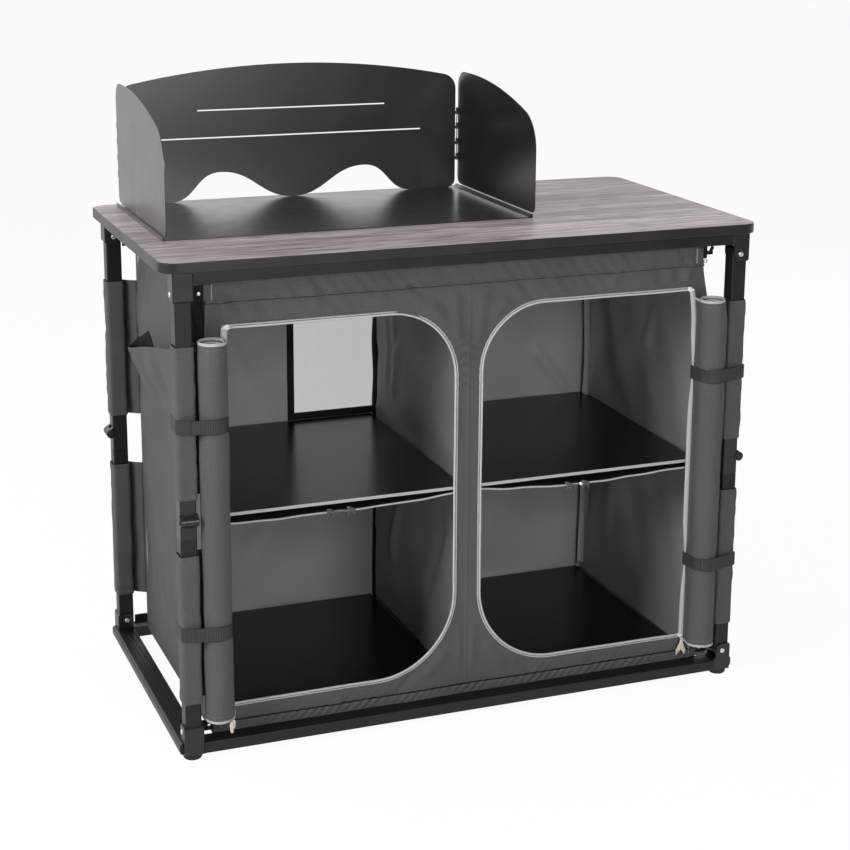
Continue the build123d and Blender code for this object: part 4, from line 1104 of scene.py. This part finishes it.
def door_piping(side):
    """The rounded tape along a door's hinge: full between the straps, thin under them, and
    knotted at both ends where the zip stops.
    """
    name = SIDES[side]
    up = np.linspace(DOOR_BOTTOM - 4, DOOR_TOP + 1, 150)
    full = 1 - np.clip(sum(bell(up - height, 42) for height in STRAP_HEIGHTS), 0, 1)
    ends = np.minimum(up - up[0], up[-1] - up)
    knots = 0.9 * ease((16 - ends) / 3) * (0.6 + 0.4 * np.sin(ends * 1.5))
    half = (1.8 + 3.2 * full + knots) * ease((ends + 1.5) / 2.5)
    around = np.linspace(0, math.tau, 21)
    x = PIPING_X + half[:, None] * np.cos(around) - 1.6 * full[:, None]
    y = PIPING_Y + np.minimum(half, 3.4)[:, None] * np.sin(around)
    patches = [(stack(x, y, up[:, None]), places(around * 3, up), 0)]
    piece = build(name + "_hinge_piping", on_side(side, patches), [TAPE])
    soft(piece, slot="zip_grey")


# Sliders, tabs, ties and the legs' sleeves


def rounded_block(centre, sizes, squareness=0.35, turn=0.0):
    """A soft-edged block as a superellipsoid: powers of the sines and cosines of two angles.

    turn rotates it about the Y axis, in degrees.
    """
    u, v = lattice(33, 17)
    around, rise = math.tau * u, math.pi * (v - 0.5)

    def power(value):
        return np.sign(value) * np.abs(value) ** squareness

    x = sizes[0] / 2 * power(np.cos(rise)) * power(np.cos(around))
    y = sizes[1] / 2 * power(np.cos(rise)) * power(np.sin(around))
    z = sizes[2] / 2 * power(np.sin(rise))
    lean = math.radians(turn)
    points = stack(
        centre[0] + x * math.cos(lean) + z * math.sin(lean), centre[1] + y,
        centre[2] - x * math.sin(lean) + z * math.cos(lean),
    )
    return points, stack(u * sizes[0], v * sizes[2]), 0


def plate(outline, depth, place, lean=0.0):
    """A flat closed plate from an outline of X and Z, with its edges rounded off, as patches.

    It stands at a place, its face to the front, and leans about Y by an angle in degrees.
    """
    outline = np.concatenate([outline, outline[:1]])
    angle = math.radians(lean)
    turn = np.array([[math.cos(angle), math.sin(angle)], [-math.sin(angle), math.cos(angle)]])
    middle = outline[:-1].mean(axis=0)
    rings = []
    for scale, share in ((0, -0.5), (0.84, -0.5), (1, -0.25), (1, 0.25), (0.84, 0.5), (0, 0.5)):
        ring = (middle + (outline - middle) * scale) @ turn.T
        rings.append(stack(place[0] + ring[:, 0], place[1] + share * depth, place[2] + ring[:, 1]))
    points = np.array(rings)
    return [(points, places(np.arange(points.shape[1]), np.arange(6)) * 2.0, 0)]


def rod(path, radius, count=10):
    """A round rod along a path in space, as one patch with its ends drawn to a point."""
    tangent = unit(np.gradient(path, axis=0))
    aside = unit(np.cross(tangent, [0.3, 0.8, 0.52]))
    third = np.cross(tangent, aside)
    share = shares(len(path))
    size = radius * np.sqrt(np.clip(np.minimum(share, 1 - share) * len(path) / 2.5, 0.0, 1.0))
    around = np.linspace(0, math.tau, count + 1)
    ring = np.cos(around)[None, :, None] * aside[:, None] + np.sin(around)[None, :, None] * third[:, None]
    points = path[:, None] + ring * size[:, None, None]
    return points, places(around * radius, lengths_along(path)), 0


def forked_pull(x, y, z):
    """A flat pull with a forked end, and the wire eye that it hangs from."""
    fork = np.array([
        (-2.2, 0), (2.2, 0), (3.4, -9), (9.0, -21), (8.2, -30), (0, -20), (-8.2, -30), (-9.0, -21),
        (-3.4, -9),
    ])
    eye = np.linspace(0, math.tau, 17)
    ring = stack(x - 0.4 + 2.6 * np.cos(eye), y + 0.8, z + 2.4 + 3.4 * np.sin(eye))
    return plate(fork, 1.8, (x, y, z), 4.0) + [rod(ring, 0.9)]


def blunt_pulls(start):
    """Two blunt pulls that hang beside each other at the roll's foot, and their wire from the slider."""
    x, y, z = ROLL_X - 12.0, ROLL_Y - ROLL_RADIUS - 1.6, ROLL_BOTTOM + 2.0
    drop = np.radians(np.arange(0, 360, 20))
    bulk = 2.7 * np.sign(np.cos(drop)) * np.abs(np.cos(drop)) ** 0.6
    blunt = stack(bulk, 9 * np.sin(drop) - 9)
    share = shares(16)
    wire = start + ((x, y, z - 1.0) - start) * share[:, None]
    wire[:, 0] -= 5.0 * np.sin(math.pi * share)
    second = plate(blunt * (0.9, 0.75), 2.0, (x - 5.6, y + 4.2, z + 1.0), -4.0)
    return plate(blunt, 2.2, (x, y, z), 3.0) + second + [rod(wire, 0.8)]


def zip_sliders(side):
    """The two sliders of one door's zip: a body on the coil, a bridge, and the lower one's pulls."""
    x, front = DOOR_OUTER - 5.0, FRONT_Y
    bridge = np.linspace(0, math.pi, 9)
    patches = []
    # Each slider's height, lean and size
    for z, lean, size in ((DOOR_TOP + 0.5, 24.0, 13.0), (DOOR_BOTTOM + 1.0, -24.0, 9.0)):
        patches.append(rounded_block((x, front - 3.4, z), (size, 6.0, 0.62 * size), 0.5, lean))
        path = stack(x - 0.36 * size * np.cos(bridge), front - 6.0 - 3.0 * np.sin(bridge), z + 1.0)
        patches.append(rod(path, 1.2))
    if side > 0:
        pulls = forked_pull(x + 1.0, front - 8.4, DOOR_BOTTOM - 4.0)
    else:
        pulls = blunt_pulls(np.array([x, front - 5.0, DOOR_BOTTOM]))
    patches += [(points, flat, 1) for points, flat, finish in pulls]
    piece = build(SIDES[side] + "_zip_sliders", on_side(side, patches), [SLIDER, PULL], sharp=45)
    soft(piece, slot="rivet_steel")


def hooked_plate(edge, face):
    """The small hooked plate under the right front rail and its screw, where the cloth hangs in
    from the frame.
    """
    # Each block of the plate: its place along X and Z, its sizes and its turn
    parts = (
        (1.5, 726.0, (6.0, 3.0, 26.0), 0.0), (8.0, 722.0, (14.0, 3.0, 6.0), 0.0),
        (12.5, 727.0, (5.0, 3.0, 11.0), 25.0),
    )
    blocks = [rounded_block((edge + x, face - 2.8, z), size, 0.3, turn) for x, z, size, turn in parts]
    return blocks, rounded_block((edge + 1.5, face - 5.0, 709.0), (6.6, 3.6, 6.6), 1.0)


def plain_tab(edge, face, end, low, high):
    """A strip of webbing from the cloth's corner to the frame, and its screw."""
    across = np.linspace(edge - 9, edge + 21.5, 24)
    lift = 1.7 + 0.8 * np.sin((across - edge) / 7)
    height = (low + high) / 2
    strip = ribbed_strip(stack(across, face + end * lift, height), high - low, 1.4, 7)
    return [strip], rounded_block((edge + 6.5, face + end * 3.6, height), (6.8, 3.6, 6.8), 1.0)


def corner_tab(side, end, low, high):
    """A tab that ties the cloth's corner to the frame at these heights, its screw, and the folded
    tape on the cloth where it is sewn on.
    """
    face = FRONT_Y if end < 0 else BACK_Y
    if side > 0 and end < 0 and low > SLING_Z:
        edge = HALF_WIDTH - 15.0
        patches, screw = hooked_plate(edge, face)
    else:
        edge = HALF_WIDTH
        patches, screw = plain_tab(edge, face, end, low, high)
    patches.append((screw[0], screw[1], 1))
    path = stack(edge - 7.0, face, np.linspace(low + 1, high, 12))
    band = np.array([(-6.0, 0.0), (-5.8, 2.6), (-2.0, 3.1), (1.6, 2.7), (5.0, 3.0)])
    selvedge = np.array([(5.0, 3.0), (5.4, 3.7), (6.6, 3.6), (7.0, 2.6), (7.0, 0.0)])
    for profile, finish in ((band, 2), (selvedge, 3)):
        patches.append(sweep(path, (-1, 0, 0), (0, end, 0), profile, finish))
    if side < 0:
        patches = mirrored(patches)
    ends = "front" if end < 0 else "rear"
    level = "low" if low < SLING_Z else "high"
    name = "corner_tab_%s_%s_%s" % (SIDES[side], ends, level)
    soft(build(name, patches, [BINDING_AND_PAINTED_SHADE, ZINC, CANVAS, LINING], sharp=40), slot="webbing_black")


def corner_gather():
    """The bunched cloth in the gap between the cupboard's left front corner and the leg, in painted shade.
    """
    bottom, height, reach = 646.0, 60.0, 27.0
    u, v = lattice(24, 30)
    across = -(HALF_WIDTH - 3.0) - reach * u
    up = bottom + height * v - 6.0 * u * (1 - v)
    fold = 2.6 * np.sin(math.tau * (1.6 * u + 0.22 * np.sin(5 * v)))
    depth = FRONT_Y - 0.5 + (fold + 1.5) * np.sin(math.pi * np.clip(1.1 * u, 0, 1))
    patch = flipped(stack(across, depth, up), stack(across, up))
    # The dark binding cloth stands for the shade that the bracket, the top rail and the folds cast here
    soft(build("corner_gather", [patch], [BINDING_AND_PAINTED_SHADE], wall=0.8), slot="webbing_black")


def knotted_tie(x, z, seed):
    """A cord knotted through a sling's hem, with its two tails, as rods."""
    rng = np.random.default_rng(seed)
    y = SLING_FRONT - 2.5
    share = shares(40)
    loop = math.tau * (1.7 * share + rng.uniform())
    path = stack(
        x + 5.6 * np.cos(loop) + 5 * (share - 0.5), y + 1.6 * np.sin(loop * 1.5),
        z - 1 + 4.4 * np.sin(loop * 0.8),
    )
    rods = [rod(path, 1.1)]
    tail = shares(12)
    for fall in (-1, 1):
        drop = (9.0 + rng.uniform(0, 3)) * tail ** 1.4
        rods.append(rod(stack(x + fall * 6.0 * tail, y - tail, z - drop), 1.0))
    return rods


def shelf_ties():
    """The knotted cords of both slings' hems, and the snap button at the right one's rear edge."""
    patches = []
    for x, z, seed in ((-225, 361.5, 3), (-192, 362.0, 5), (176, 359.5, 7), (206, 359.0, 9)):
        patches += knotted_tie(x, z, seed)
    share = shares(20)
    for left, right, z in ((-225, -192, 361.5), (176, 206, 359.0)):
        sag = z - 2.0 * np.sin(math.pi * share)
        patches.append(rod(stack(left + (right - left) * share, SLING_FRONT - 1.6, sag), 0.9))
    button = rounded_block((197.0, SLING_FRONT - 4.0, 358.5), (7.0, 3.8, 7.0), 1.0)
    patches.append((button[0], button[1], 1))
    soft(build("shelf_ties", patches, [THREAD, ZINC], sharp=45), slot="webbing_black")


def wrapped(box, seed, u, v, lift=0.0):
    """Points on a sleeve round the leg in a box, with u the share of a turn and v the height in it.

    Its rings are superellipses of power 7, puffed by soft wrinkles and drawn in at both hems.
    """
    low, high = box
    size, height = (high[0] - low[0]) / 2, high[2] - low[2]
    around = math.tau * u
    puff = 0.6 + unevenness(8 * size * u, v, seed, (30, 120), 0.5)
    puff = puff + 0.35 * gathers(v + 9 * np.sin(around), seed + 1, (22, 60))
    ends = np.minimum(v, height - v)
    hem = 0.55 * ease((10 - ends) / 2) - 0.5 * bell(ends - 7.5, 0.7) - 0.4 * bell(ends, 0.8)
    corners = (np.abs(np.cos(around)) ** 7 + np.abs(np.sin(around)) ** 7) ** (1 / 7)
    radius = (size + 0.3 + lift + hem + puff * ease(ends / 14)) / corners
    x, y = (low[:2] + high[:2]) / 2
    return stack(x + radius * np.cos(around), y + radius * np.sin(around), low[2] + v)


def sleeve_web(box, seed, side, end):
    """The web of cloth from a sleeve's inner face to the corner of the cupboard."""
    low, high = box
    x, y = (low[:2] + high[:2]) / 2
    height = high[2] - low[2]
    rows = np.concatenate([[0, 1], np.linspace(5, height - 5, 40), [height]])
    u, v = np.meshgrid(shares(9), rows)
    start_x = x - side * ((high[0] - low[0]) / 2 - 1.0)
    start_y = y - end * (-1.0 if end > 0 else 8.0)
    web_x = start_x + (side * (HALF_WIDTH - 0.6) - start_x) * u
    web_y = start_y + ((BACK_Y if end > 0 else FRONT_Y) - end * 0.4 - start_y) * u
    web_y = web_y + (1.2 + unevenness(30 * u, v, seed, (60, 170), 0.8)) * np.sin(math.pi * u) * -end
    points, flat = stack(web_x, web_y, low[2] + v), stack(WEB_WIDTH * u, v)
    return (points[:, ::-1], flat, 0) if side * end < 0 else (points, flat, 0)


def leg_sleeve(corner, half):
    """A cloth sleeve round a leg, with a stitched hem at each end, and its web."""
    name = "%s_%s_sleeve" % (corner, half)
    box = low, high = span(name)
    girth, height = 4 * (high[0] - low[0]), high[2] - low[2]
    seed = 70 + sum(ord(letter) for letter in name)
    ends = np.array([0, 1.2, 2.2, 6.5, 7.5, 8.5])
    rows = np.concatenate([ends, np.linspace(16, height - 16, 60), height - ends[::-1]])
    u, v = np.meshgrid(shares(65), rows)
    patches = [(wrapped(box, seed, u, v), stack(girth * u, v), 0)]
    around = shares(130)
    middle = (low[:2] + high[:2]) / 2
    for row in (5.2, height - 5.2):
        path = wrapped(box, seed, around, np.full(len(around), row), 0.05)
        patches += stitches(path, unit(path - stack(*middle, path[:, 2])), 1)
    patches.append(sleeve_web(box, seed + 2, *CORNERS[corner]))
    piece = build(name + "_cloth", patches, [CANVAS, THREAD], wall=1.0)
    mount(piece, "%s_%s_leg" % (corner, half), "cupboard_cloth", name)


# The surround, the lights and the camera


def stage_floor():
    """A pale floor. Where shiny parts mirror the part of it that lies in front, they see it darker."""
    made, tree, place = new_material("stage_floor")
    where = add(tree, "SeparateXYZ", {0: place})
    mirrored_glow = remap(tree, where.outputs["Y"], -4.2, -2.4, 0.05, 0.85)
    path = add(tree, "LightPath").outputs
    strength = add(tree, "Mix", {0: path["Is Glossy Ray"], 2: 1.0, 3: mirrored_glow})
    share = maths(tree, "MULTIPLY_ADD", path["Is Camera Ray"], 0.95, path["Is Glossy Ray"])
    diffuse = add(tree, "BsdfDiffuse", {"Color": linear("#F4F4F4")})
    glow = add(tree, "Emission", {"Color": linear("#FFFFFF"), "Strength": strength.outputs[0]})
    mixed = add(tree, "MixShader", {0: share, 1: diffuse.outputs[0], 2: glow.outputs[0]})
    add(tree, "OutputMaterial", {"Surface": mixed.outputs[0]})
    u, v = lattice(2, 2)
    half = 60000.0
    ground = stack(half * (2 * u - 1), half * (2 * v - 1), 0 * u)
    build("stage_floor", [(ground, stack(u, v), 0)], [made])


def surround():
    """The room behind the cupboard as a white backdrop, and the room in front of it darker."""
    world = bpy.data.worlds.new("surround")
    bpy.context.scene.world = world
    world.use_nodes = True
    tree = world.node_tree
    tree.nodes.clear()
    path = add(tree, "LightPath").outputs
    heading = add(tree, "SeparateXYZ", {0: add(tree, "TexCoord").outputs["Generated"]})
    backdrop = remap(tree, heading.outputs["Y"], 0.1, 0.6, 0.08, 1.05)
    straight = maths(tree, "MAXIMUM", path["Is Camera Ray"], path["Is Transmission Ray"])
    plain = remap(tree, straight, low=0.16)
    strength = add(tree, "Mix", {0: path["Is Glossy Ray"], 2: plain, 3: backdrop})
    light = add(tree, "Background", {"Color": linear("#FFFFFF"), "Strength": strength.outputs[0]})
    add(tree, "OutputWorld", {"Surface": light.outputs[0]})


def softboxes():
    """Five large soft lights: name, place, the point each one aims at, size and power in watts."""
    lamps = (
        ("left_softbox", (-2.9, -1.0, 2.0), (0, 0, 0.45), 1.5, 88),
        ("front_softbox", (-0.1, -3.1, 1.3), (0, 0, 0.4), 1.2, 47),
        ("top_softbox", (0.3, 0.2, 3.2), (0, 0, 0.5), 2.4, 20),
        ("rear_softbox", (-2.0, 2.6, 2.6), (0, 0, 0.4), 1.8, 34),
        ("right_softbox", (3.0, 1.7, 1.5), (0, 0, 0.4), 1.5, 24),
    )
    for name, place, aim, size, power in lamps:
        lamp = bpy.data.lights.new(name, "AREA")
        lamp.shape = "SQUARE"
        lamp.size = size
        lamp.energy = power
        holder = bpy.data.objects.new(name, lamp)
        holder.location = place
        heading = Vector(aim) - Vector(place)
        holder.rotation_euler = heading.to_track_quat("-Z", "Y").to_euler()
        bpy.context.scene.collection.objects.link(holder)


def aim_camera():
    """The camera where the photograph was taken: its place, turn, tilt, roll, lens and shift."""
    yaw, pitch, roll = np.radians((21.167, 14.043, 0.347)).tolist()
    place = (-1.0635, -2.7747, 1.3046)
    sensor, focal_pixels, picture_pixels = 36.0, 1860.3, 850
    ahead = Vector((math.sin(yaw) * math.cos(pitch), math.cos(yaw) * math.cos(pitch), -math.sin(pitch)))
    level = Vector((math.cos(yaw), -math.sin(yaw), 0))
    upward = level.cross(ahead)
    right = level * math.cos(roll) + upward * math.sin(roll)
    top = upward * math.cos(roll) - level * math.sin(roll)
    camera = bpy.data.cameras.new("camera")
    camera.sensor_width = sensor
    camera.lens = sensor * focal_pixels / picture_pixels
    camera.shift_y = -0.1
    camera.clip_end = 200.0
    holder = bpy.data.objects.new("camera", camera)
    turn = Matrix((right, top, -ahead)).transposed()
    holder.matrix_world = Matrix.Translation(place) @ turn.to_4x4()
    bpy.context.scene.collection.objects.link(holder)
    bpy.context.scene.camera = holder


# Everything is made here

paint_nodes()
cabinet_front()
cabinet_side(-1)
cabinet_side(1)
cabinet_back()
window()
cabinet_divider()
cabinet_floor()
side_pocket()
shelf_ties()
corner_gather()
for side in (-1, 1):
    shelf_sling(side)
    door_roll(side)
    door_zip(side)
    door_piping(side)
    zip_sliders(side)
    for end in (-1, 1):
        for low, high in TAB_HEIGHTS:
            corner_tab(side, end, low, high)
    for number, height in enumerate(STRAP_HEIGHTS):
        door_strap(side, number, height)
for corner in CORNERS:
    for half in ("lower", "upper"):
        leg_sleeve(corner, half)
stage_floor()
surround()
softboxes()
aim_camera()
bpy.context.scene.view_settings.view_transform = "Standard"
